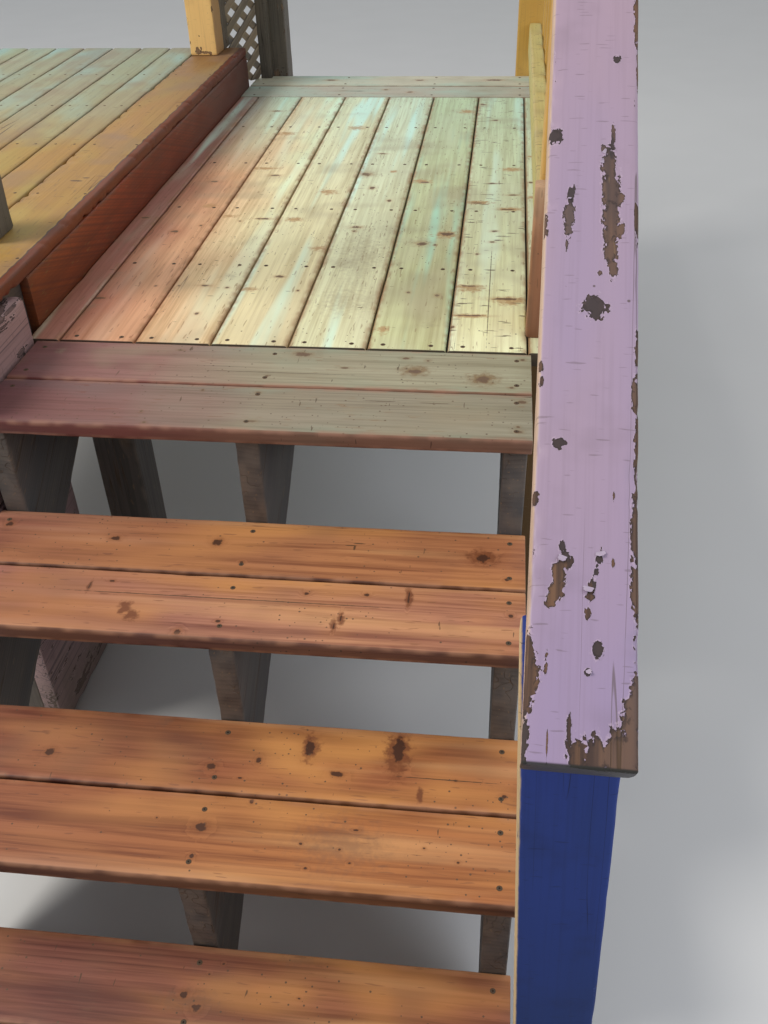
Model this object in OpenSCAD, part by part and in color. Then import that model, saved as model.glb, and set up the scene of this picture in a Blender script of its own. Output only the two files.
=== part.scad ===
// Wooden deck stairs: an open-riser flight on notched stringers, its landing,
// the handrail and guard on the right, and the older porch deck on the left.
// Heights are measured from the ground. The origin is on the ground, in the
// middle of the whole footprint. The flight faces -Y, and right is +X.

/* [Stairs] */
// Height from one tread to the next
rise = 189; // [160:1:200]
// How far each tread stands out over the one below
nosing = 12; // [2:1:30]
// Depth of the plank that a stringer is cut from
stringer_d = 286; // [240:1:300]
// Thickness of a stringer
stringer_t = 38; // [30:1:50]
// Distance from a tread's end to the outer stringer
stringer_inset = 6; // [2:1:60]

/* [Deck boards] */
// Width of a deck board
board_w = 140; // [120:1:150]
// Thickness of a deck board
board_t = 26; // [20:1:38]
// Gap between two deck boards
board_gap = 3; // [1:0.5:8]
// Radius of the eased long edges
board_ease = 4; // [1:0.5:8]

/* [Landing] */
// Length of the boards that run away from the flight
long_board_l = 1729; // [1200:1:2400]
// Width of the narrow strip beside the porch
left_strip_w = 58.5; // [30:0.5:120]
// Width of the narrow strip beside the guard
right_strip_w = 25.5; // [22:0.5:80]
// How far the boards stand out past the frame at each side
landing_overhang = 21; // [5:1:40]
// Depth of a joist
joist_d = 184; // [140:1:235]
// Thickness of a joist
joist_t = 38; // [30:1:50]

/* [Posts and rails] */
// Side of a square post
post_w = 89; // [75:1:100]
// Height of the guard over the landing
guard_h = 900; // [800:5:1100]
// Width of a rail laid flat
cap_w = 92; // [80:1:140]
// Thickness of a rail
rail_t = 38; // [30:1:45]
// Depth of a rail that stands on edge
rail_d = 89; // [70:1:120]
// Height of the handrail's lower end over the ground
rail_low_h = 937; // [850:1:1000]
// How far the handrail runs past the lower newel
rail_overhang = 45; // [10:1:80]
// How far the rail caps stand out over the inside of the upper newel
cap_side_overhang = 10; // [0:1:20]
// Distance from the bottom tread's front edge back to the lower newel
newel_setback = 102; // [60:1:160]
// Gap at the ground between the tread's end and the lower newel
newel_foot_gap = 12; // [10:1:30]
// Lean of the lower newel towards the flight, in degrees
newel_lean = 2.66; // [0:0.01:2.8]
// Distance from the landing's front edge to the upper newel
upper_newel_y = 383; // [340:1:500]
// Height of the short block in front of the upper newel
block_h = 272; // [150:1:400]
// Height of the guard's bottom rail over the landing
bottom_rail_h = 163; // [120:1:220]
// Side of a square baluster
baluster_w = 38; // [25:1:45]
// Number of balusters
baluster_count = 9; // [6:1:10]
// Distance from the landing frame's right side to the guard's rails
guard_out = 4; // [0:1:20]
// How far the balusters reach below the bottom rail
baluster_drop = 15; // [5:1:40]
// Distance from the landing's right edge to the far right post
far_right_post_in = 55; // [20:1:70]
// Distance from the landing's left edge to the far left post
far_left_post_in = 16; // [5:1:40]

/* [Corner lattice] */
// Width of a lattice strip
strip_w = 22; // [15:1:30]
// Clear space between two lattice strips
strip_space = 22; // [15:1:30]
// Thickness of a lattice strip
strip_t = 8; // [5:0.5:12]
// Depth of the batten on the porch's corner post
batten_d = 78; // [55:1:90]

/* [Porch] */
// Height of the porch deck over the landing
porch_step = 120; // [100:1:160]
// Distance from the landing's far edge forward to the porch's far edge
porch_setback = 145; // [100:1:400]
// Width of the board along the porch's edge
edge_board_w = 154; // [120:1:180]
// Width of the other porch boards
porch_board_w = 96; // [80:1:120]
// Number of the other porch boards
porch_board_count = 8; // [4:1:10]
// Thickness of a porch board
porch_board_t = 25; // [20:1:32]
// Height of the stained fascia board
fascia_h = 235; // [184:1:286]
// Thickness of the fascia board
fascia_t = 19; // [15:1:25]
// Distance from the porch's front edge to the fascia
fascia_start = 345; // [300:1:400]
// Gap between the porch and the landing
porch_clearance = 1; // [0.5:0.5:3]
// Thickness of a skirt plank
skirt_t = 33; // [20:1:38]
// Space between the porch deck and the skirt below it
skirt_drop = 10; // [5:1:30]
// Number of skirt planks
skirt_planks = 3; // [2:1:5]
// Height of the posts that stand on the porch
porch_post_h = 900; // [600:5:1100]
// Distance from the porch's right edge to the corner post
corner_post_in = 63; // [20:1:80]
// Distance from the porch's far edge to the corner post
corner_post_setback = 33; // [10:1:60]
// Distance from the porch's right edge to the near post
near_post_in = 94; // [60:1:140]
// Distance from the porch's front edge to the near post
near_post_y = 435; // [300:1:900]
// Bevel around the tops of the posts that stand free
post_bevel = 6; // [2:1:15]

/* [Hidden] */

// Number of risers, from the ground to the landing
riser_count = 4;
// Number of lengthwise boards on the landing
landing_board_count = 6;
// Largest clear space between two joists
joist_clear = 315;
// Saw gap between the last joist and the short ones behind it
short_joist_gap = 0.5;
// How far the two layers of lattice strips are let into each other
layer_let_in = 1;
// Distance that the lattice keeps from the middle of the batten at each end
lattice_stops = [20, 8];
// Room that a cutting block needs past what it cuts
past = 400;

board_pitch = board_w + board_gap;
tread_d = 2 * board_w + board_gap;
run = tread_d - nosing;
landing_h = riser_count * rise;
landing_w = left_strip_w + right_strip_w + landing_board_count * board_pitch + board_gap;
landing_d = 2 * tread_d + 2 * board_gap + long_board_l;
tread_w = landing_w - 2 * landing_overhang;

// Front and back faces of the landing's frame
rim_y = tread_d + board_gap / 2;
seam_y = landing_d - tread_d - board_gap / 2;
frame_top = landing_h - board_t;

// Stringer pitch, and how far down its lower edge lies
pitch = atan(rise / run);
stringer_drop = stringer_d / cos(pitch);

// The lower newel and the handrail over it
newel_y = tread_front(1) + newel_setback;
newel_x = tread_w / 2 + newel_foot_gap;
newel_top_x = newel_x - (rail_low_h - rail_t) * tan(newel_lean);
rail_start = [newel_top_x, newel_y - rail_overhang, rail_low_h];
rail_end_y = upper_newel_y + post_w / 2;
rail_end_x = tread_w / 2 - cap_side_overhang;
guard_top = landing_h + guard_h;
rail_reach = rail_end_y - rail_start[1];
rail_turn = atan((rail_end_x - rail_start[0]) / rail_reach);
rail_slope = atan((guard_top - rail_low_h) / rail_reach);
rail_l = rail_reach / cos(rail_slope) / cos(rail_turn);

// The guard beside the landing
guard_x = tread_w / 2 + guard_out;
guard_y = upper_newel_y + post_w;
guard_l = landing_d - guard_y;
far_right_x = landing_w / 2 - far_right_post_in;
far_left_x = -landing_w / 2 + far_left_post_in;

// The porch
porch_l = landing_d - porch_setback;
porch_x = -landing_w / 2 - porch_clearance;
porch_h = landing_h + porch_step;
porch_frame_top = porch_h - porch_board_t;
porch_frame_x = porch_x - fascia_t;
porch_w = edge_board_w + porch_board_count * (porch_board_w + board_gap);
porch_left = porch_x - porch_w;
corner_post_x = porch_x - corner_post_in - post_w;
corner_post_y = porch_l - corner_post_setback - post_w;
near_post_x = porch_x - near_post_in - post_w;

// The lattice, on the line from the middle of one batten to the middle of the other
batten_middle = [corner_post_x + post_w - rail_t / 2, corner_post_y + post_w + batten_d / 2];
batten_run = [far_left_x + rail_t / 2, landing_d - rail_t / 2] - batten_middle;
lattice_turn = atan2(batten_run[1], batten_run[0]);
lattice_l = norm(batten_run) - lattice_stops[0] - lattice_stops[1];
lattice_h = guard_h;

// Middle of the footprint, which the origin is moved to
footprint_right = newel_x + post_w / cos(newel_lean);
middle_x = (porch_left + footprint_right) / 2;
middle_y = (tread_front(1) + landing_d + post_w) / 2;

// Front edge of tread k, counted up from the ground
function tread_front(k) = -(riser_count - k) * run;
// Height of the level cut under tread k
function cut_z(k) = k * rise - board_t;
// Front of stringer notch k
function notch_y(k) = tread_front(k) + nosing;
// Height of a stringer's lower edge at a place along the flight
function lower_edge_z(y) = cut_z(1) + (y - notch_y(1)) * tan(pitch) - stringer_drop;

module place() {
    translate([-middle_x, -middle_y, 0]) children();
}

// A block given by its lowest and highest corners
module block(from, to) {
    translate(from) cube(to - from);
}

// An upright post with a bevelled top, from its lowest corner
module free_post(from, top) {
    h = top - from[2];
    outline = [
        [0, 0], [post_w, 0], [post_w, h - post_bevel],
        [post_w - post_bevel, h], [post_bevel, h], [0, h - post_bevel]
    ];
    translate(from)
        intersection() {
            rotate([90, 0, 90]) linear_extrude(post_w) polygon(outline);
            translate([0, post_w, 0]) rotate([90, 0, 0]) linear_extrude(post_w) polygon(outline);
        }
}

// Section of a board with eased edges, from its lower left corner
module board_section(w, t, ease = board_ease) {
    translate([ease, 0]) square([w - 2 * ease, t]);
    translate([0, ease]) square([w, t - 2 * ease]);
    for (x = [ease, w - ease], y = [ease, t - ease])
        translate([x, y]) circle(r = ease, $fn = 24);
}

// A board that lies across the flight, from its lowest corner
module board_across(from, length, w = board_w, t = board_t) {
    translate(from) rotate([90, 0, 90]) linear_extrude(length) board_section(w, t);
}

// A board that runs away from the flight, from its lowest corner
module board_away(from, length, w = board_w, t = board_t) {
    translate(from + [0, length, 0]) rotate([90, 0, 0]) linear_extrude(length) board_section(w, t);
}

// Two boards side by side, which a tread and each end of the landing have
module board_pair(from, length) {
    for (row = [0, 1])
        board_across(from + [0, row * board_pitch, 0], length);
}

module tread(k) {
    color("peru") place() board_pair([-tread_w / 2, tread_front(k), cut_z(k)], tread_w);
}

// A plank with a notch for every tread, a level foot and a plumb upper end
module stringer(x) {
    notches = [
        for (k = [1:riser_count]) each [
            [notch_y(k), cut_z(k)],
            [k < riser_count ? notch_y(k + 1) : rim_y, cut_z(k)]
        ]
    ];
    foot_back = notch_y(1) + (stringer_drop - cut_z(1)) / tan(pitch);
    outline = concat(
        [[notch_y(1), 0]],
        notches,
        [[rim_y, lower_edge_z(rim_y)], [foot_back, 0]]
    );
    color("dimgray") place()
        translate([x, 0, 0]) rotate([90, 0, 90]) linear_extrude(stringer_t) polygon(outline);
}

module left_stringer() {
    stringer(-tread_w / 2 + stringer_inset);
}

module middle_stringer() {
    stringer(-stringer_t / 2);
}

module right_stringer() {
    stringer(tread_w / 2 - stringer_inset - stringer_t);
}

module landing_front_boards() {
    color("burlywood") place() board_pair([-tread_w / 2, 0, frame_top], tread_w);
}

// Lengthwise board k, counted from the porch side
module landing_board(k) {
    x = -landing_w / 2 + left_strip_w + board_gap + (k - 1) * board_pitch;
    color("burlywood") place() board_away([x, tread_d + board_gap, frame_top], long_board_l);
}

module landing_left_strip() {
    color("burlywood") place()
        board_away([-landing_w / 2, tread_d + board_gap, frame_top], long_board_l, left_strip_w);
}

// The strip beside the guard is cut around the upper newel
module landing_right_strip() {
    x = landing_w / 2 - right_strip_w;
    start = tread_d + board_gap;
    color("burlywood") place() {
        board_away([x, start, frame_top], upper_newel_y - start, right_strip_w);
        board_away([x, guard_y, frame_top], start + long_board_l - guard_y, right_strip_w);
    }
}

module landing_far_boards() {
    color("burlywood") place()
        board_pair([-landing_w / 2, landing_d - tread_d, frame_top], landing_w);
}

// The front rim, which carries the stringers, and the far rim
module landing_end_rims() {
    color("gray") place()
        for (y = [rim_y, landing_d - joist_t])
            block([-tread_w / 2, y, frame_top - joist_d], [tread_w / 2, y + joist_t, frame_top]);
}

// A rim along one side of the landing, between the front and far rims
module landing_side_rim(x) {
    color("gray") place()
        block([x, rim_y + joist_t, frame_top - joist_d],
              [x + joist_t, landing_d - joist_t, frame_top]);
}

module landing_left_rim() {
    landing_side_rim(-tread_w / 2);
}

module landing_right_rim() {
    landing_side_rim(tread_w / 2 - joist_t);
}

// Joists at even spaces, the last one under the seam before the far boards,
// and two short ones behind it that carry the middle of those boards
module landing_joists() {
    first = rim_y;
    last = seam_y - joist_t / 2;
    spaces = ceil((last - first) / (joist_clear + joist_t));
    step = (last - first) / spaces;
    color("gray") place() {
        for (i = [1:spaces])
            block([-tread_w / 2 + joist_t, first + i * step, frame_top - joist_d],
                  [tread_w / 2 - joist_t, first + i * step + joist_t, frame_top]);
        for (side = [-1, 1])
            block([side * tread_w / 6 - joist_t / 2, last + joist_t + short_joist_gap,
                   frame_top - joist_d],
                  [side * tread_w / 6 + joist_t / 2, landing_d - joist_t, frame_top]);
    }
}

module landing_leg() {
    corner = [-tread_w / 2 + joist_t, rim_y + joist_t];
    color("gray") place()
        block([corner[0], corner[1], 0], [corner[0] + post_w, corner[1] + post_w, frame_top]);
}

// Puts its children on the line of the handrail's upper left edge, which runs along +Y
module on_rail_line() {
    translate(rail_start) rotate([0, 0, -rail_turn]) rotate([rail_slope, 0, 0]) children();
}

// All the space over a plane that lies a depth below the handrail's top
module over_rail_plane(depth) {
    on_rail_line() translate([-past, -past, -depth]) cube([3 * past, rail_l + 2 * past, 3 * past]);
}

// The post leans about the inner edge of its foot and is cut level at the ground
module lower_newel() {
    color("mediumslateblue") place()
        difference() {
            translate([newel_x, newel_y, 0]) rotate([0, -newel_lean, 0])
                translate([0, 0, -past]) cube([post_w, post_w, rail_low_h + 2 * past]);
            block([newel_x - past, newel_y - past, -2 * past], [newel_x + past, newel_y + past, 0]);
            over_rail_plane(rail_t);
        }
}

// The post's top is sloped under the handrail and level under the guard's cap
module upper_newel() {
    color("mediumslateblue") place()
        difference() {
            block([tread_w / 2, upper_newel_y, 0],
                  [tread_w / 2 + post_w, upper_newel_y + post_w, guard_top - rail_t]);
            intersection() {
                over_rail_plane(rail_t);
                block([0, upper_newel_y - past, 0], [landing_w, rail_end_y, guard_top + past]);
            }
        }
}

module newel_block() {
    color("tan") place()
        block([tread_w / 2 - cap_side_overhang, upper_newel_y - rail_t, landing_h],
              [tread_w / 2 - cap_side_overhang + post_w, upper_newel_y, landing_h + block_h]);
}

module handrail_cap() {
    color("plum") place()
        difference() {
            on_rail_line() translate([0, 0, -rail_t]) cube([cap_w, rail_l + past, rail_t]);
            block([0, rail_end_y, 0], [landing_w, rail_end_y + past, guard_top + past]);
        }
}

// The rail on edge under the handrail, cut plumb against both newels
module stair_rail() {
    color("plum") place()
        intersection() {
            on_rail_line() translate([(cap_w - rail_t) / 2, 0, -rail_t - rail_d])
                cube([rail_t, rail_l + past, rail_d]);
            block([0, newel_y + post_w, 0], [landing_w, upper_newel_y, guard_top + past]);
        }
}

// A rail on edge between the upper newel and the far right post
module guard_rail(top) {
    block([guard_x, guard_y, top - rail_d], [guard_x + rail_t, landing_d, top]);
}

module guard_bottom_rail() {
    color("darkkhaki") place() guard_rail(landing_h + bottom_rail_h);
}

module guard_top_rail() {
    color("goldenrod") place() guard_rail(guard_top - rail_t);
}

module guard_cap() {
    color("goldenrod") place()
        block([rail_end_x, rail_end_y, guard_top - rail_t],
              [rail_end_x + cap_w, landing_d + post_w, guard_top]);
}

// Square bars on the outside of both guard rails, at even spaces
module guard_balusters() {
    space = (guard_l - baluster_count * baluster_w) / (baluster_count + 1);
    low = landing_h + bottom_rail_h - rail_d - baluster_drop;
    high = guard_top - rail_t;
    color("goldenrod") place()
        for (i = [0:baluster_count - 1]) {
            y = guard_y + space + i * (space + baluster_w);
            block([guard_x + rail_t, y, low], [guard_x + rail_t + baluster_w, y + baluster_w, high]);
        }
}

module far_right_post() {
    color("goldenrod") place()
        block([far_right_x, landing_d, 0], [far_right_x + post_w, landing_d + post_w, guard_top - rail_t]);
}

module far_left_post() {
    color("darkslategray") place() free_post([far_left_x, landing_d, 0], guard_top);
}

// Slanted strips over an upright panel, leaning to one side (+1) or the other (-1)
module lattice_strips(lean) {
    strip_pitch = (strip_w + strip_space) * sqrt(2);
    reach = (lattice_l + lattice_h) * sqrt(2);
    intersection() {
        square([lattice_l, lattice_h]);
        for (s = [-lattice_h:strip_pitch:lattice_l + lattice_h])
            translate([s, 0]) rotate(90 - 45 * lean)
                translate([-reach, -strip_w / 2]) square([2 * reach, strip_w]);
    }
}

// The lattice's own upright plane, with its near lower corner at the origin
module on_lattice_line() {
    translate([batten_middle[0], batten_middle[1], landing_h])
        rotate([0, 0, lattice_turn])
            translate([lattice_stops[0], 0, 0])
                children();
}

// Two layers of strips, let into each other
module corner_lattice() {
    color("darkolivegreen") place() on_lattice_line() rotate([90, 0, 0]) {
        translate([0, 0, -strip_t]) linear_extrude(strip_t) lattice_strips(1);
        translate([0, 0, layer_let_in - 2 * strip_t]) linear_extrude(strip_t) lattice_strips(-1);
    }
}

// A batten on each post, cut flat where an end of the lattice meets it
module lattice_battens() {
    color("olive") place()
        difference() {
            union() {
                block([corner_post_x + post_w - rail_t, corner_post_y + post_w, porch_h],
                      [corner_post_x + post_w, corner_post_y + post_w + batten_d,
                       landing_h + lattice_h]);
                block([far_left_x, landing_d - rail_t, landing_h],
                      [far_left_x + rail_t, landing_d, landing_h + lattice_h]);
            }
            on_lattice_line() translate([0, -past, -past])
                cube([lattice_l, 2 * past, lattice_h + 2 * past]);
        }
}

module porch_edge_board() {
    color("darkgoldenrod") place()
        board_away([porch_x - edge_board_w, 0, porch_frame_top], porch_l, edge_board_w, porch_board_t);
}

module porch_boards() {
    color("darkgoldenrod") place()
        for (i = [0:porch_board_count - 1])
            board_away([porch_left + i * (porch_board_w + board_gap), 0, porch_frame_top],
                       porch_l, porch_board_w, porch_board_t);
}

module porch_fascia() {
    color("saddlebrown") place()
        block([porch_frame_x, fascia_start, porch_frame_top - fascia_h],
              [porch_x, porch_l, porch_frame_top]);
}

// A rim along one side of the porch
module porch_side_rim(x) {
    color("gray") place()
        block([x, 0, porch_frame_top - joist_d], [x + joist_t, porch_l, porch_frame_top]);
}

module porch_right_rim() {
    porch_side_rim(porch_frame_x - joist_t);
}

module porch_left_rim() {
    porch_side_rim(porch_left);
}

// The rims at the porch's front and far edges, between the side rims
module porch_end_rims() {
    color("gray") place()
        for (y = [0, porch_l - joist_t])
            block([porch_left + joist_t, y, porch_frame_top - joist_d],
                  [porch_frame_x - joist_t, y + joist_t, porch_frame_top]);
}

module porch_joists() {
    last = porch_l - joist_t;
    spaces = ceil(last / (joist_clear + joist_t));
    step = last / spaces;
    color("gray") place()
        for (i = [1:spaces - 1])
            block([porch_left + joist_t, i * step, porch_frame_top - joist_d],
                  [porch_frame_x - joist_t, i * step + joist_t, porch_frame_top]);
}

// Posts under the rims, one at each corner and one more behind the skirt
module porch_legs() {
    top = porch_frame_top - joist_d;
    right = porch_frame_x - post_w;
    places = [
        [right, 0], [right, tread_d - post_w], [right, porch_l - post_w],
        [porch_left, 0], [porch_left, porch_l - post_w]
    ];
    color("gray") place()
        for (p = places)
            block([p[0], p[1], 0], [p[0] + post_w, p[1] + post_w, top]);
}

// Old planks under the porch, beside the ends of the landing's first boards
module porch_skirt() {
    top = porch_frame_top - skirt_drop;
    plank = (top - (skirt_planks - 1) * board_gap) / skirt_planks;
    color("rosybrown") place()
        for (i = [0:skirt_planks - 1])
            block([porch_frame_x, 0, i * (plank + board_gap)],
                  [porch_frame_x + skirt_t, tread_d, i * (plank + board_gap) + plank]);
}

module porch_corner_post() {
    color("gold") place()
        free_post([corner_post_x, corner_post_y, porch_h], porch_h + porch_post_h);
}

module porch_near_post() {
    color("darkslategray") place()
        free_post([near_post_x, near_post_y, porch_h], porch_h + porch_post_h);
}

tread(1);  // tread_1
tread(2);  // tread_2
tread(3);  // tread_3
left_stringer();
middle_stringer();
right_stringer();
landing_front_boards();
landing_board(1);  // landing_board_1
landing_board(2);  // landing_board_2
landing_board(3);  // landing_board_3
landing_board(4);  // landing_board_4
landing_board(5);  // landing_board_5
landing_board(6);  // landing_board_6
landing_left_strip();
landing_right_strip();
landing_far_boards();
landing_left_rim();
landing_right_rim();
landing_end_rims();
landing_joists();
landing_leg();
lower_newel();
upper_newel();
newel_block();
handrail_cap();
stair_rail();
guard_bottom_rail();
guard_top_rail();
guard_cap();
guard_balusters();
far_right_post();
far_left_post();
corner_lattice();
lattice_battens();
porch_edge_board();
porch_boards();
porch_fascia();
porch_right_rim();
porch_left_rim();
porch_end_rims();
porch_joists();
porch_legs();
porch_skirt();
porch_corner_post();
porch_near_post();
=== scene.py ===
# Wooden deck stairs with their landing, rails and porch, dressed for the render.
# Each member is a section carried along a line, with worn edges and its own grain.
import math
import zlib

import bmesh
import bpy
import numpy as np
from mathutils import Matrix, Vector


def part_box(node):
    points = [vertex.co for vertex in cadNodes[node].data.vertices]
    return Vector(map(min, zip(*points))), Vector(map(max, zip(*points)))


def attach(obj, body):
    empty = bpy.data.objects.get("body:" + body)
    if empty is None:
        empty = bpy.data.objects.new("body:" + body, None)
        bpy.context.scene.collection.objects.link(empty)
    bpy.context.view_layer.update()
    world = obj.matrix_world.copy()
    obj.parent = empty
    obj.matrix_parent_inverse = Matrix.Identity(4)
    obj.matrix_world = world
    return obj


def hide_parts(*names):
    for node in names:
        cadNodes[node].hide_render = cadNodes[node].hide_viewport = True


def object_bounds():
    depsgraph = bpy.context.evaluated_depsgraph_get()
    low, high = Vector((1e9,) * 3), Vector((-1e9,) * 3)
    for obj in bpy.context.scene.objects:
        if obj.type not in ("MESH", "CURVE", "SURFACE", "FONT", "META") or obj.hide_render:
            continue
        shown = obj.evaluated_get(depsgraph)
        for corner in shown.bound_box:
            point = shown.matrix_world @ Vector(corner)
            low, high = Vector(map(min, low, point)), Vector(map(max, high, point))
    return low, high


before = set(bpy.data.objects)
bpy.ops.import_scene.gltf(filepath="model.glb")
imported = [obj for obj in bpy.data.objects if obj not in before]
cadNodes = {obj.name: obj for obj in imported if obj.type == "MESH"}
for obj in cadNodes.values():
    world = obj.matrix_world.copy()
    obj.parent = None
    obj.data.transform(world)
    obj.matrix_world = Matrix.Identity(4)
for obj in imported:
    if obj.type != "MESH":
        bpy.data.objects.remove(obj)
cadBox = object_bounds()
xAxis, yAxis, zAxis = np.eye(3)
print("frame loaded,", len(cadNodes), "nodes")


def seeded(name):
    return np.random.default_rng(zlib.crc32(name.encode()))


# A slow wander between 0 and 1: five sines whose periods shrink by 1.7 from one to the next.
def wander(s, rng, period):
    k = np.arange(5)
    phase = rng.uniform(0, 2 * np.pi, 5)
    waves = np.sin(2 * np.pi * s[:, None] / period * 1.7 ** k + phase) / 1.35 ** k
    return np.clip(0.5 + waves.sum(1) / 5.2, 0, 1)


# Bites along an edge: a sum of bell curves at random places, each with its own depth and width.
def bites(s, rng, perMetre, depth, width):
    count = rng.poisson(max(perMetre * np.ptp(s), 0))
    if count == 0:
        return np.zeros_like(s)
    at = rng.uniform(s.min(), s.max(), count)
    wide = rng.uniform(0.3, 1, count) * width
    deep = rng.uniform(0.3, 1, count) * depth
    return (deep * np.exp(-((s[:, None] - at) / wide) ** 2)).sum(1).clip(0, 1.5 * depth)


# A grid of points closed round its columns: the quads between neighbours, and both end faces.
def tubeFaces(rows, cols, flip=False):
    i = np.arange(rows - 1)[:, None] * cols
    j = np.arange(cols)
    after = (j + 1) % cols
    quads = np.stack([i + j, i + after, i + cols + after, i + cols + j], -1).reshape(-1, 4)
    first, last = j[::-1], j + (rows - 1) * cols
    if flip:
        quads, first, last = quads[:, ::-1], first[::-1], last[::-1]
    counts = np.concatenate([np.full(len(quads), 4), [cols, cols]])
    return np.concatenate([quads.ravel(), first, last]), counts


# A rectangle w by t with quarter circles at its corners, run round once. Returns the points,
# how far each belongs to each of the four corners, and the way in from its corner.
def roundedSection(w, t, ease, spacing):
    centres = np.array([[ease, ease], [w - ease, ease], [w - ease, t - ease], [ease, t - ease]])
    points, owner, inward = [], [], []
    for k in range(4):
        angle = np.radians(180 + 90 * k + np.linspace(0, 90, 4))
        arc = centres[k] + ease * np.stack([np.cos(angle), np.sin(angle)], 1)
        side = (w, t)[k % 2] - 2 * ease
        near = min(0.008, side / 4)
        inner = np.linspace(near, side - near, max(2, int(side / spacing) + 1))
        way = np.array([[1, 0], [0, 1], [-1, 0], [0, -1]])[k]
        points += [arc, arc[-1] + inner[:, None] * way]
        owner += [np.full(4, k), np.full(len(inner), -1)]
        diagonal = np.array([[1, 1], [-1, 1], [-1, -1], [1, -1]])[k] * 0.7071
        inward += [np.tile(diagonal, (4, 1)), np.zeros((len(inner), 2))]
    owner = np.concatenate(owner)
    return np.concatenate(points), owner[:, None] == np.arange(4), np.concatenate(inward)


# A member: point(i, j) = origin + across * b + deep * n + along * s, where (b, n) runs round the
# rounded section and s runs between the planes that cut its ends. Rings near an end draw in as a
# quarter circle does, and the corners give way to wear and bites.
def member(name, origin, along, across, deep, size, planes, look=None):
    use = {"ease": 0.003, "endEase": 0.0015, "wear": 0.0006, "bitesPerMetre": 1.5,
           "biteDepth": 0.0015, "biteWidth": 0.012, "step": 0.03, "spacing": 0.03,
           "heart": (0.0, -0.05), "tint": (1, 1, 1), "ripple": 0.00015, **(look or {})}
    rng = seeded(name)
    w, t = size
    ring, corner, inward = roundedSection(w, t, use["ease"], use["spacing"])
    low = np.full(len(ring), -1e3)
    high = np.full(len(ring), 1e3)
    for point, normal in planes:
        normal = np.asarray(normal, float)
        run = along @ normal
        reach = (np.asarray(point, float) - origin) @ normal
        at = (reach - ring[:, 0] * (across @ normal) - ring[:, 1] * (deep @ normal)) / run
        if run > 0:
            high = np.minimum(high, at)
        else:
            low = np.maximum(low, at)
    high = np.maximum(high, low + 1e-4)
    length = float(np.median(high - low))
    end = min(use["endEase"], length / 5)
    middle = np.linspace(end, length - end, max(2, int(length / use["step"])))
    s = np.concatenate([[0, 0.3 * end], middle, [length - 0.3 * end, length]])
    fromEnd = np.minimum(s, length - s).clip(0, end)
    drawIn = end - np.sqrt(np.maximum(end ** 2 - (end - fromEnd) ** 2, 0))
    wornIn = np.zeros((len(s), len(ring)))
    for k in range(4):
        # the edge loses from a quarter of the wear to nearly twice as much
        loss = use["wear"] * (0.25 + 1.5 * wander(s, rng, 0.4) ** 2)
        loss = loss + bites(s, rng, use["bitesPerMetre"], use["biteDepth"], use["biteWidth"])
        wornIn += loss[:, None] * corner[:, k]
    centre = np.array([w, t]) / 2
    flat = ring[None] + (centre - ring)[None] * (drawIn[:, None, None] / centre)
    flat = flat + inward[None] * wornIn[:, :, None]
    sway = use["ripple"] * np.sin(s[:, None] * rng.uniform(20, 40) + ring.sum(1) * 90 + rng.uniform(0, 6))
    flat = flat + np.sign(centre - ring)[None] * np.abs(sway)[:, :, None] * ~corner.any(1)[None, :, None]
    runs = low[None] + (high - low)[None] * (s / length)[:, None]
    b, n = flat[..., 0], flat[..., 1]
    co = origin + runs[..., None] * along + b[..., None] * across + n[..., None] * deep
    place = np.stack([runs, b, n], -1).reshape(-1, 3)
    heart = np.array(use["heart"]) + rng.uniform(-1, 1, 2) * (0.3 * w, 0.02)
    edge = np.maximum(corner.any(1)[None] * 1.0, (fromEnd < end * 0.9)[:, None] * 0.8)
    corners, counts = tubeFaces(len(s), len(ring), np.cross(across, deep) @ along < 0)
    return {"co": co.reshape(-1, 3), "corners": corners, "counts": counts, "edge": edge.reshape(-1),
            "grain": place + [rng.uniform(0, 40), heart[0] - w / 2, -heart[1] - t / 2],
            "place": place, "tint": np.tile([*use["tint"], 1], (edge.size, 1))}


# A member that fills a box, with its length and its depth along two named axes.
def boxMember(name, box, along, deep, look=None):
    low, high = box
    a, n = "xyz".index(along), "xyz".index(deep)
    b = 3 - a - n
    axes = np.eye(3)
    size = (high[b] - low[b], high[n] - low[n])
    origin = np.where(np.arange(3) == a, 0.0, low)
    return member(name, origin, axes[a], axes[b], axes[n], size, [(low, -axes[a]), (high, axes[a])], look)


# The boxes of a node's separate solids: its triangles are parted wherever none bridges a gap.
def solidBoxes(nodeName):
    mesh = cadNodes[nodeName].data
    co = np.zeros(len(mesh.vertices) * 3)
    mesh.vertices.foreach_get("co", co)
    mesh.calc_loop_triangles()
    tri = np.zeros(len(mesh.loop_triangles) * 3, int)
    mesh.loop_triangles.foreach_get("vertices", tri)
    groups = [co.reshape(-1, 3)[tri].reshape(-1, 3, 3)]
    for axis in (1, 0, 2):
        parted = []
        for g in groups:
            order = np.argsort(g[:, :, axis].min(1))
            low = g[order][:, :, axis].min(1)
            reach = np.maximum.accumulate(g[order][:, :, axis].max(1))
            parted += np.split(g[order], np.flatnonzero(low[1:] > reach[:-1] + 1e-4) + 1)
        groups = parted
    return [(g.reshape(-1, 3).min(0), g.reshape(-1, 3).max(0)) for g in groups]


# the values at each point that the materials read: name, kind, and the field that holds it
pointValues = (("grain", "FLOAT_VECTOR", "vector"), ("place", "FLOAT_VECTOR", "vector"),
               ("edge", "FLOAT", "value"), ("tint", "FLOAT_COLOR", "color"), ("bare", "FLOAT", "value"))


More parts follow.
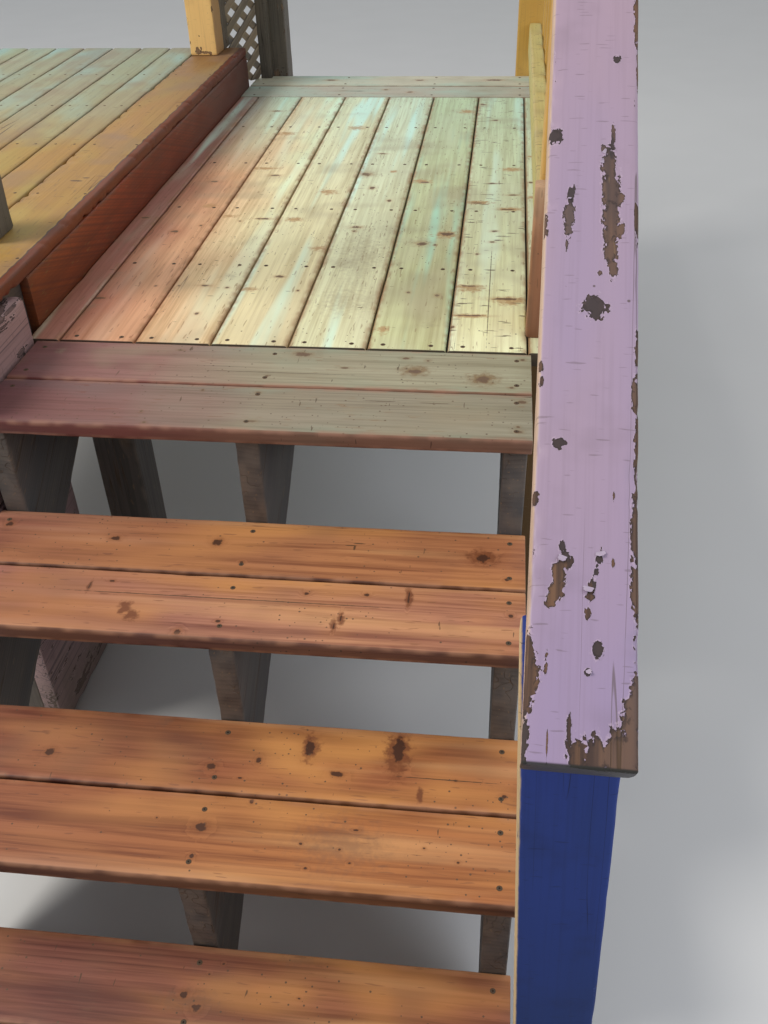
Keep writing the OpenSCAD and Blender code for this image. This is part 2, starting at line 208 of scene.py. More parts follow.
def surface(name, parts, material, smoothUnder=40):
    shift = np.cumsum([0] + [len(p["co"]) for p in parts[:-1]])
    corners = np.concatenate([p["corners"] + k for p, k in zip(parts, shift)])
    counts = np.concatenate([p["counts"] for p in parts])
    co = np.concatenate([p["co"] for p in parts])
    mesh = bpy.data.meshes.new(name)
    mesh.vertices.add(len(co))
    mesh.vertices.foreach_set("co", co.ravel())
    mesh.loops.add(len(corners))
    mesh.loops.foreach_set("vertex_index", corners.astype(np.int32))
    mesh.polygons.add(len(counts))
    mesh.polygons.foreach_set("loop_start", np.concatenate([[0], np.cumsum(counts)[:-1]]).astype(np.int32))
    mesh.update(calc_edges=True)
    for key, kind, field in pointValues:
        if key in parts[0]:
            values = np.concatenate([p[key] for p in parts]).astype(np.float32)
            mesh.attributes.new(key, kind, "POINT").data.foreach_set(field, values.ravel())
    mesh.shade_smooth()
    mesh.set_sharp_from_angle(angle=math.radians(smoothUnder))
    mesh.materials.append(material)
    piece = bpy.data.objects.new(name, mesh)
    bpy.context.scene.collection.objects.link(piece)
    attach(piece, "root")
    return piece


def dress(nodeName, parts, material):
    piece = surface(nodeName + "_worn", parts, material)
    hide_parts(nodeName)
    return piece


# A value, vector or colour in a material's nodes. Sums, products and powers of values make Math nodes.
class Field:
    def __init__(self, socket):
        self.socket, self.tree = socket, socket.id_data

    def output(self, name):
        return Field(self.socket.node.outputs[name])

    def math(self, operation, *others):
        return node(self.tree, "ShaderNodeMath", dict(enumerate((self, *others))), operation=operation)

    def __add__(self, other):
        return self.math("ADD", other)

    def __sub__(self, other):
        return self.math("SUBTRACT", other)

    def __mul__(self, other):
        return self.math("MULTIPLY", other)

    def __truediv__(self, other):
        return self.math("DIVIDE", other)

    def __pow__(self, other):
        return self.math("POWER", other)


def node(tree, kind, inputs=None, output=0, **settings):
    made = tree.nodes.new(kind)
    for key, value in settings.items():
        setattr(made, key, value)
    for key, value in (inputs or {}).items():
        socket = made.inputs[key]
        if isinstance(value, Field):
            tree.links.new(value.socket, socket)
        else:
            socket.default_value = (*value, 1) if socket.type == "RGBA" else value
    return Field(made.outputs[output]) if made.outputs else None


def blend(factor, a, b, how="MIX"):
    tree = next(value.tree for value in (factor, a, b) if isinstance(value, Field))
    settings = {"data_type": "RGBA", "blend_type": how, "clamp_factor": True}
    return node(tree, "ShaderNodeMix", {0: factor, 6: a, 7: b}, 2, **settings)


def ramp(value, low, high, to0=0.0, to1=1.0):
    inputs = {"Value": value, "From Min": low, "From Max": high, "To Min": to0, "To Max": to1}
    return node(value.tree, "ShaderNodeMapRange", inputs, interpolation_type="SMOOTHSTEP")


def scaled(vector, scale):
    scale = scale if isinstance(scale, tuple) else (scale,) * 3
    return node(vector.tree, "ShaderNodeVectorMath", {0: vector, 1: scale}, operation="MULTIPLY")


def noise(vector, scale, detail=2.0, rough=0.5):
    inputs = {"Vector": scaled(vector, scale), "Scale": 1.0, "Detail": detail, "Roughness": rough}
    return node(vector.tree, "ShaderNodeTexNoise", inputs, "Fac")


# Jumbled cells: how far each point lies from its cell's middle, and three random numbers for the cell.
def cells(vector, scale):
    inputs = {"Vector": scaled(vector, scale), "Scale": 1.0}
    cell = node(vector.tree, "ShaderNodeTexVoronoi", inputs, "Distance")
    random = node(vector.tree, "ShaderNodeSeparateColor", {0: cell.output("Color")})
    return cell, [random.output(k) for k in range(3)]


def attribute(tree, name, output="Fac"):
    return node(tree, "ShaderNodeAttribute", {}, output, attribute_name=name)


def objectPlace(tree):
    return node(tree, "ShaderNodeTexCoord", {}, "Object")


def split(vector):
    made = node(vector.tree, "ShaderNodeSeparateXYZ", {0: vector})
    return [made.output(k) for k in range(3)]


# How deep a point lies in the nearest of several ellipses: 1 at a centre, 0 at the rim and below
# outside. Each is (x, y, half length along x, half length along y) in millimetres; jitter times
# ragged gnaws the rims.
def spots(vector, places, ragged, jitter):
    flat = scaled(vector, (1, 1, 0))
    nearest = None
    for x, y, rx, ry in np.array(places) / 1000:
        shape = {"Vector": flat, "Location": (x, y, 0), "Scale": (rx, ry, 1)}
        moved = node(vector.tree, "ShaderNodeMapping", shape, vector_type="TEXTURE")
        far = node(vector.tree, "ShaderNodeVectorMath", {0: moved}, "Value", operation="LENGTH")
        nearest = far if nearest is None else nearest.math("MINIMUM", far)
    return (jitter * ragged + nearest) * -1.0 + 1.0


# Specks of dirt and of sawdust: one small ball in some of the cells of a jumbled grid.
def specks(vector, perMetre, chance, radius, paleChance=0):
    far, random = cells(vector, perMetre)
    inside = ramp(far / ((random[1] * 0.8 + 0.4) * (radius * perMetre)), 1.0, 0.7)
    crowd = ramp(noise(vector, 3.5, 0), 0.40, 0.66, 0.3 * chance, 2.2 * chance)
    dark = inside * random[0].math("LESS_THAN", crowd)
    pale = inside * random[2].math("LESS_THAN", paleChance) if paleChance else None
    return dark, pale


# A colour that changes with the place along one axis, through a few (place, colour) stops.
def sweep(vector, axis, stops):
    low, high = stops[0][0], stops[-1][0]
    along = (noise(vector, 7, 0) - 0.5) * 0.12 + split(vector)[axis]
    band = node(vector.tree, "ShaderNodeValToRGB", {0: (along - low) / (high - low)})
    points = band.socket.node.color_ramp.elements
    for at, _ in stops[1:-1]:
        points.new((at - low) / (high - low))
    for point, (_, colour) in zip(points, stops):
        point.color = (*colour, 1)
    return band


# Sawn wood: rings about the member's heart, drawn round its knots, with fibres, streaks and checks.
def wood(tree, look, knotNear=None):
    grain = attribute(tree, "grain", "Vector")
    _, b, n = split(grain)
    knot, pull = None, None if knotNear is None else ramp(knotNear, -2.2, 0.6)
    if look["knotChance"] and pull is None:
        far, random = cells(grain, look["knotCell"])
        far = far / (random[1] * 0.09 + 0.04)
        present = random[0].math("LESS_THAN", look["knotChance"])
        knot = ramp(far, 1.0, 0.75) * present
        pull = ramp(far, 3.6, 0.6) * present
    radius = (b * b + n * n).math("SQRT") + (noise(grain, (1.3, 7, 7), 1) - 0.5) * look["waver"]
    if pull is not None:
        radius = radius + pull * 0.011
    ring = (radius / look["ringGap"]).math("FRACT")
    late = ring ** 2.2 * ramp(ring, 1.0, 0.9)
    fibre = noise(grain, (5, 170, 170), 3, 0.62)
    streak = noise(grain, (0.9, 34, 34), 2, 0.55)
    blotch = noise(grain, (3.0, 8, 8), 2, 0.6)
    fleck = ramp(noise(grain, (26, 190, 190), 1), look["fleckFrom"], look["fleckFrom"] + 0.05)
    ridge = (noise(grain, (1.1, 46, 46), 1, 0.45) - 0.5).math("ABSOLUTE")
    parted = ramp(noise(grain, (2.3, 11, 11), 1), look["checkFrom"], look["checkFrom"] + 0.08)
    check = ramp(ridge, look["checkWide"], 0.0) * parted
    shade = late * look["ringDark"] + (fibre - 0.42) * look["fibreDark"]
    shade = shade + (streak - 0.42) * look["streakDark"]
    colour = blend(shade, look["light"], look["dark"])
    colour = blend(1.0, colour, attribute(tree, "tint", "Color"), "MULTIPLY")
    # blotches of a second tone: weathered grey on most woods; on the treads golden patches that are both wood
    # tone and painted sunlight
    colour = blend(ramp(blotch, 0.42, 0.72) * look["grey"], colour, look["weatherAndSunBlotch"])
    # long pale bands: lighter streaks in the wood, and on the landing boards a painted sheen
    if look["pale"]:
        band = ramp(noise(grain, (1.1, 17, 17), 2, 0.6), 0.50, 0.68, 0, look["pale"])
        colour = blend(band, colour, look["paleStreakAndSheenTone"])
    if pull is not None:
        colour = blend(pull * look["halo"], colour, look["knotEdge"])
    if knot is not None:
        colour = blend(knot * 0.85, colour, look["knot"])
    colour = blend(fleck * look["flecks"], colour, look["fleck"])
    colour = blend(check * 0.85, colour, look["crack"])
    height = fibre * 0.8 - check * 2.2
    return {"colour": colour, "height": height, "grain": grain, "blotch": blotch, "check": check}


# Soil splashed up from the ground: full at the foot and gone by knee height, its edge broken by noise.
def splashed(colour, broken):
    high = broken * 0.3 + split(objectPlace(broken.tree))[2]
    return blend(ramp(high, 0.36, 0.12, 0, 0.7), colour, (0.13, 0.10, 0.075))


# side multiplies a board's side faces darker and raggedShadeLine paints a dark line at its outer edge: both
# are painted shade
cedar = {
    "light": (0.725, 0.775, 0.56), "dark": (0.48, 0.465, 0.295), "weatherAndSunBlotch": (0.58, 0.62, 0.45), "grey": 0.55,
    "ringGap": 0.0075, "ringDark": 0.30, "fibreDark": 0.6, "streakDark": 1.2, "waver": 0.03,
    "knot": (0.12, 0.07, 0.04), "knotEdge": (0.38, 0.21, 0.085), "halo": 0.25, "knotCell": (2.4, 9, 0),
    "knotChance": 0.10, "fleck": (0.22, 0.14, 0.07), "flecks": 0.5, "fleckFrom": 0.68,
    "crack": (0.07, 0.04, 0.02), "checkWide": 0.010, "checkFrom": 0.62, "crossFrom": None,
    "pale": 0, "paleStreakAndSheenTone": (0.80, 0.84, 0.70), "sweeps": {}, "sawn": None, "sawdust": 0, "speckled": 0.10,
    "rust": (0.46, 0.28, 0.11), "rusty": 0.65, "rustFrom": (-0.4, 0.7), "smudge": (0.30, 0.25, 0.16),
    "dirt": (0.10, 0.06, 0.035), "dirty": 0.3, "edge": (0.10, 0.07, 0.045), "edged": 0.35,
    "side": None, "sideFrom": (0.0045, 0.002), "fray": 0.0006, "raggedShadeLine": None, "cutEnd": None,
    "rough": (0.5, 0.72), "relief": 0.0003}


def finishMaterial(tree, colour, rough, height, relief, specular=0.35):
    bump = node(tree, "ShaderNodeBump", {"Height": height, "Distance": relief, "Strength": 1.0})
    inputs = {"Base Color": colour, "Roughness": rough, "Specular IOR Level": specular, "Normal": bump}
    node(tree, "ShaderNodeOutputMaterial", {"Surface": node(tree, "ShaderNodeBsdfPrincipled", inputs)})


def startMaterial(name):
    material = bpy.data.materials.new(name)
    material.use_nodes = True
    material.node_tree.nodes.clear()
    return material, material.node_tree


# Bare wood with dirt, and with knots, rust, smudges and cracks where the marks put them.
def bareWood(name, changes=None, marks=None):
    look = {**cedar, **(changes or {})}
    marks = marks or {}
    material, tree = startMaterial(name)
    here = objectPlace(tree)
    jitter = noise(here, 95, 2, 0.65) - 0.5
    knots = spots(here, marks["knots"], 1.6, jitter) if "knots" in marks else None
    made = wood(tree, look, knots)
    colour, height = made["colour"], made["height"]
    for axis, stops in look["sweeps"].items():
        colour = blend(1.0, colour, sweep(here, axis, stops), "MULTIPLY")
    if "rust" in marks:
        near = spots(here, marks["rust"], 2.4, jitter)
        colour = blend(ramp(near, *look["rustFrom"]) * look["rusty"], colour, look["rust"])
    if "smudges" in marks:
        near = spots(here, marks["smudges"], 3.2, jitter)
        colour = blend(ramp(near, -0.5, 1.2, 0, 0.36), colour, look["smudge"])
    if knots is not None:
        colour = blend(ramp(knots, -0.7, 0.2) * 0.38, colour, look["knotEdge"])
        colour = blend(ramp(knots, 0.0, 0.35, 0, 0.92), colour, look["knot"])
    if "cracks" in marks:
        near = spots(here, marks["cracks"], 1.0, jitter)
        colour = blend(ramp(near, 0.0, 0.3, 0, 0.85), colour, look["crack"])
    if look["crossFrom"]:
        dash = ramp(noise(made["grain"], (130, 22, 22), 2), look["crossFrom"], look["crossFrom"] + 0.03)
        colour = blend(dash * 0.8, colour, look["crack"])
    if look["sawn"]:
        run = node(tree, "ShaderNodeVectorMath", {0: here, 1: look["sawn"]}, "Value", operation="DOT_PRODUCT")
        line = noise(node(tree, "ShaderNodeCombineXYZ", {0: run}), 1, 3, 0.7)
        colour = blend(ramp(line, 0.42, 0.60, 0, 0.65), colour, look["dark"])
        height = height + line
    speck, dust = specks(here, 105, look["speckled"], 0.0018, look["sawdust"])
    if dust is not None:
        colour = blend(dust, colour, (0.80, 0.72, 0.55))
    colour = blend(speck * 0.9, colour, look["dirt"])
    cloudy = noise(here, 5, 2, 0.7)
    colour = blend(ramp(cloudy, 0.5, 0.72) * look["dirty"], colour, look["smudge"])
    colour = splashed(colour, cloudy)
    frayed = noise(here, 30, 1, 0.6)
    along, across, _ = split(attribute(tree, "place", "Vector"))
    # painted shade: the side faces are multiplied darker
    if look["side"]:
        across = (frayed - 0.5) * look["fray"] + across
        colour = blend(ramp(across, *look["sideFrom"]), colour, look["side"], "MULTIPLY")
        # raggedShadeLine: a painted shadow line, ragged, along the outer edge
        if look["raggedShadeLine"]:
            inner, outer = look["sideFrom"]
            strip = ramp(across, inner - 0.001, inner + 0.001) * ramp(across, outer + 0.001, outer)
            colour = blend(strip * 0.9, colour, look["raggedShadeLine"])
    worn = attribute(tree, "edge") * ramp(frayed, 0.3, 0.7)
    colour = blend(worn * look["edged"], colour, look["edge"])
    if look["cutEnd"] is not None:
        shadow = ramp(along, look["cutEnd"] + 0.0025, look["cutEnd"] + 0.0005, 0, 0.95)
        colour = blend(shadow, colour, (0.035, 0.022, 0.015))
    finishMaterial(tree, colour, ramp(made["blotch"], 0.3, 0.8, *look["rough"]), height, look["relief"])
    return material


# How deep each point lies in the nearest bare patch, as spots tells it, from its own place; the
# patches wrap a little way down the sides. Each is (along, across, half length, half width) in
# millimetres.
def bareness(place, patches, thick, wrap=0.012):
    at = np.array(patches) / 1000
    apart = ((place[:, :1] - at[:, 0]) / at[:, 2]) ** 2 + ((place[:, 1:2] - at[:, 1]) / at[:, 3]) ** 2
    apart = apart + ((thick - place[:, 2:]) / wrap) ** 2
    return np.clip(1 - np.sqrt(apart.min(1)), -4, 1)


oldCoat = {
    "film": 0.0006, "peelScale": (9, 26, 26), "peel": 0.5, "keep": 0.62, "dirt": (0.13, 0.10, 0.09),
    "dirty": 0.3, "brushed": 0.12, "nicks": 0.5, "side": None, "sideFrom": (0.0045, 0.0022), "end": None,
    "sweeps": {}, "shadedHoles": (), "specular": 0.35, "rough": 0.5, "wood": {}}
darkWood = {
    **cedar, "light": (0.32, 0.20, 0.12), "dark": (0.15, 0.085, 0.05), "weatherAndSunBlotch": (0.18, 0.14, 0.11),
    "grey": 0.5, "ringDark": 0.6, "checkFrom": 0.5, "knotChance": 0}


# Old paint over wood. It is gone where slow noise, the edges or the surface's own bareness say so;
# its rim is lifted and lightened as a painted highlight, and a dark line of dirt and painted shade lies just
# inside it.
def oldPaint(name, paint, changes=None, patched=False):
    look = {"second": tuple(0.85 * c for c in paint), **oldCoat, **(changes or {})}
    material, tree = startMaterial(name)
    under = wood(tree, {**darkWood, **look["wood"]})
    grain = under["grain"]
    place = attribute(tree, "place", "Vector")
    fine = noise(grain, (60, 150, 150), 3, 0.62)
    loss = fine * 0.22 + noise(grain, look["peelScale"], 4, 0.66) - (1.22 - look["peel"] * 0.5)
    gnaw = noise(grain, 14, 2) * 0.6 + fine * 0.4
    loss = loss.math("MAXIMUM", attribute(tree, "edge") * gnaw - look["keep"])
    if patched:
        jag = noise(place, (110, 170, 170), 3, 0.66) - 0.5
        chip = cells(place, (210, 260, 260))[1][0] - 0.5
        near = jag * 1.1 + attribute(tree, "bare") + chip * 0.5
        loss = loss.math("MAXIMUM", near * 0.12)
    bare = ramp(loss, -0.004, 0.004)
    rim = ramp(loss, -0.03, 0.0) - bare
    line = bare * ramp(loss, 0.045, 0.0)
    brush = noise(grain, (6, 240, 240), 2, 0.6)
    coat = blend(ramp(under["blotch"], 0.35, 0.75, 0, 0.7), paint, look["second"])
    for axis, stops in look["sweeps"].items():
        coat = blend(1.0, coat, sweep(place, axis, stops), "MULTIPLY")
    along, across, _ = split(place)
    # the side face gets its own colour: painted light on the cap's and newel's left sides, painted shade on
    # the corner post's right side
    if look["side"]:
        coat = blend(ramp(fine * 0.002 + across, *look["sideFrom"]), coat, look["side"])
    coat = blend(ramp(brush, 0.45, 0.75, 0, look["brushed"]), coat, look["dirt"])
    nick = ramp(noise(grain, (330, 38, 38), 1), 0.69, 0.73) * look["nicks"]
    dirt = nick.math("MAXIMUM", ramp(under["check"], 0.3, 1.0, 0, 0.8))
    dirt = dirt.math("MAXIMUM", specks(place, 60, 0.08, 0.0016)[0])
    coat = blend(dirt, coat, look["dirt"])
    cloudy = noise(place, 11, 3, 0.68)
    coat = blend(ramp(cloudy, 0.5, 0.8, 0, look["dirty"]), coat, look["dirt"])
    # painted highlight along the paint's lifted rim
    coat = blend(rim * 0.5, coat, tuple(min(1, 1.3 * c + 0.06) for c in paint))
    bareColour = under["colour"]
    # shadedHoles: dark spots of painted shade where holes are, with no hole cut
    if look["shadedHoles"]:
        jitter = noise(place, 120, 2, 0.65) - 0.5
        deep = ramp(spots(place, look["shadedHoles"], 0.6, jitter), -0.25, 0.25, 0, 0.85)
        bareColour = blend(deep, bareColour, (0.045, 0.034, 0.036))
    # the dark line inside the rim: dirt and painted shade
    bareColour = blend(line * 0.85, bareColour, (0.03, 0.021, 0.02))
    colour = splashed(blend(bare, coat, bareColour), cloudy)
    if look["end"]:
        colour = blend(ramp(along, 0.003, 0.001, 0, 0.95), colour, look["end"])
    rough = ramp(bare, 0.0, 1.0, look["rough"], 0.82)
    top = rim * 0.5 + (brush * 0.12 + 1.0)
    height = node(tree, "ShaderNodeMix", {0: bare, 2: top, 3: under["height"] * 0.35}, data_type="FLOAT")
    finishMaterial(tree, colour, rough, height, look["film"], look["specular"])
    return material


# the frame under the decks: greyed wood, made darker still as painted shade
frameWood = bareWood("greyedShadedFrame", {
    "light": (0.098, 0.08, 0.068), "dark": (0.042, 0.035, 0.031), "grey": 0.7, "weatherAndSunBlotch": (0.08, 0.08, 0.082),
    "knotChance": 0.15, "checkFrom": 0.5, "checkWide": 0.02, "ringDark": 0.6, "smudge": (0.07, 0.06, 0.05),
    "edge": (0.22, 0.17, 0.13), "relief": 0.0006})
print("wood and paint ready")

# the treads: two boards each, front and rear, rosy brown to golden; each mark is (x, y, half length
# along x, half length along y) in millimetres, and sweeps are {axis: (place, colour) stops}
treads = {
    "shape": {"ease": 0.004, "wear": 0.0006, "bitesPerMetre": 1.0},
    "wood": {
        # weatherAndSunBlotch is golden here: wood tone that also paints in patches of sunlight
        "light": (0.45, 0.188, 0.088), "dark": (0.215, 0.074, 0.036), "weatherAndSunBlotch": (0.57, 0.258, 0.082),
        "grey": 0.85, "knot": (0.05, 0.018, 0.009), "knotEdge": (0.26, 0.09, 0.03),
        "rust": (0.15, 0.045, 0.018), "rusty": 0.85, "rustFrom": (-0.5, 0.5), "smudge": (0.16, 0.085, 0.055),
        "fleck": (0.19, 0.08, 0.04), "edge": (0.5, 0.24, 0.13), "edged": 0.35, "checkFrom": 0.68,
        "ringDark": 0.5, "speckled": 0.34, "side": (0.24, 0.2, 0.22), "streakDark": 2.3, "fibreDark": 2.3,
        "pale": 0.55, "paleStreakAndSheenTone": (0.65, 0.35, 0.165), "crossFrom": 0.75,
        # the sweep along x darkens and cools the left of each tread and warms the right: painted shade and
        # painted light
        "sweeps": {
            0: (
                (-0.02, (0.66, 0.58, 0.78)), (0.25, (0.83, 0.77, 0.88)), (0.6, (1.12, 1.12, 0.98)),
                (0.9, (1.0, 0.93, 0.86)))}},
    # tints are (front, rear) board tones; the rear boards and tread 1 are darker as painted shade
    1: {
        "tints": ((0.784, 0.749, 0.86), (0.636, 0.562, 0.688)),
        "knots": [
            (423, -1394, 7.1, 5.6), (446, -1410, 7, 6.8), (469, -1344, 2.3, 1.8), (452, -1361, 2.3, 1.7),
            (588, -1383, 2.8, 1.7), (120, -1520, 6, 5), (700, -1545, 7, 5)],
        "smudges": [(429, -1402, 42.5, 18), (576, -1329, 29.1, 8.9), (427, -1351, 11.7, 8.8)],
        "cracks": [(250, -1480, 160, 1.1)]},
    2: {
        "tints": ((0.916, 0.842, 0.663), (0.75, 0.64, 0.6)),
        "knots": [
            (167, -1135, 7.8, 7.5), (423, -1141, 7.6, 6.4), (472, -1158, 4.5, 1.8), (493, -1123, 4.6, 5.6),
            (567, -1093, 8.5, 16.5), (703, -1085, 9.5, 27), (616, -1137, 10.5, 5.5), (793, -1134, 4.4, 1.8),
            (864, -1156, 4.3, 3.5), (436, -1247, 10, 8.1), (368, -1238, 2.2, 2), (499, -1198, 3.2, 4.5),
            (435, -1294, 3.5, 3.8), (657, -1232, 4.2, 2.1), (583, -1261, 2.8, 2.1), (638, -1265, 2.8, 2.4),
            (655, -1285, 2.7, 2), (596, -1298, 2.7, 2.3), (755, -1252, 2.2, 1.9), (803, -1270, 2.4, 2)],
        "rust": [(703, -1089, 17.5, 37), (742, -1166, 4.4, 12.2), (568, -1093, 12, 22)],
        "smudges": [(330, -1060, 12.8, 12.1), (638, -1258, 62.6, 41.1)], "cracks": [(776, -1134, 88.4, 1.2)]},
    3: {
        "tints": ((1.018, 1.102, 1.45), (0.908, 0.909, 0.905)),
        "knots": [
            (13, -816, 6.9, 6.8), (207, -840, 8.4, 6.5), (382, -836, 8.3, 9.1), (818, -843, 12.7, 10),
            (856, -893, 3.9, 3.6), (239, -946, 4.8, 2.8), (644, -946, 4.6, 3.4), (429, -1022, 4.5, 2.6),
            (374, -1050, 5.9, 7.2), (862, -975, 4.4, 4.3), (550, -951, 4.6, 4.6), (433, -884, 3.2, 3),
            (207, -959, 1.2, 9), (708, -947, 1.8, 15), (611, -1000, 1.6, 10), (603, -1018, 1.4, 9)],
        "rust": [
            (207, -959, 3.2, 11.6), (278, -1004, 10, 13), (294, -1020, 10, 11), (708, -945, 5.8, 18.2),
            (611, -1002, 5.5, 12), (603, -1018, 5, 12), (818, -843, 21, 16)],
        "cracks": [(602, -828, 12, 1.6), (615, -822, 10, 1.8), (609, -833, 2, 8), (419, -972, 308.3, 1.3)]}}
for k in (1, 2, 3):
    marks = treads[k]
    material = bareWood("treadCedar%d" % k, treads["wood"], marks)
    shapes = [{**treads["shape"], "tint": tint} for tint in marks["tints"]]
    parts = [boxMember("tread%d%d" % (k, row), box, "x", "z", shapes[row])
             for row, box in enumerate(solidBoxes("tread_%d" % k))]
    dress("tread_%d" % k, parts, material)
print("treads made")

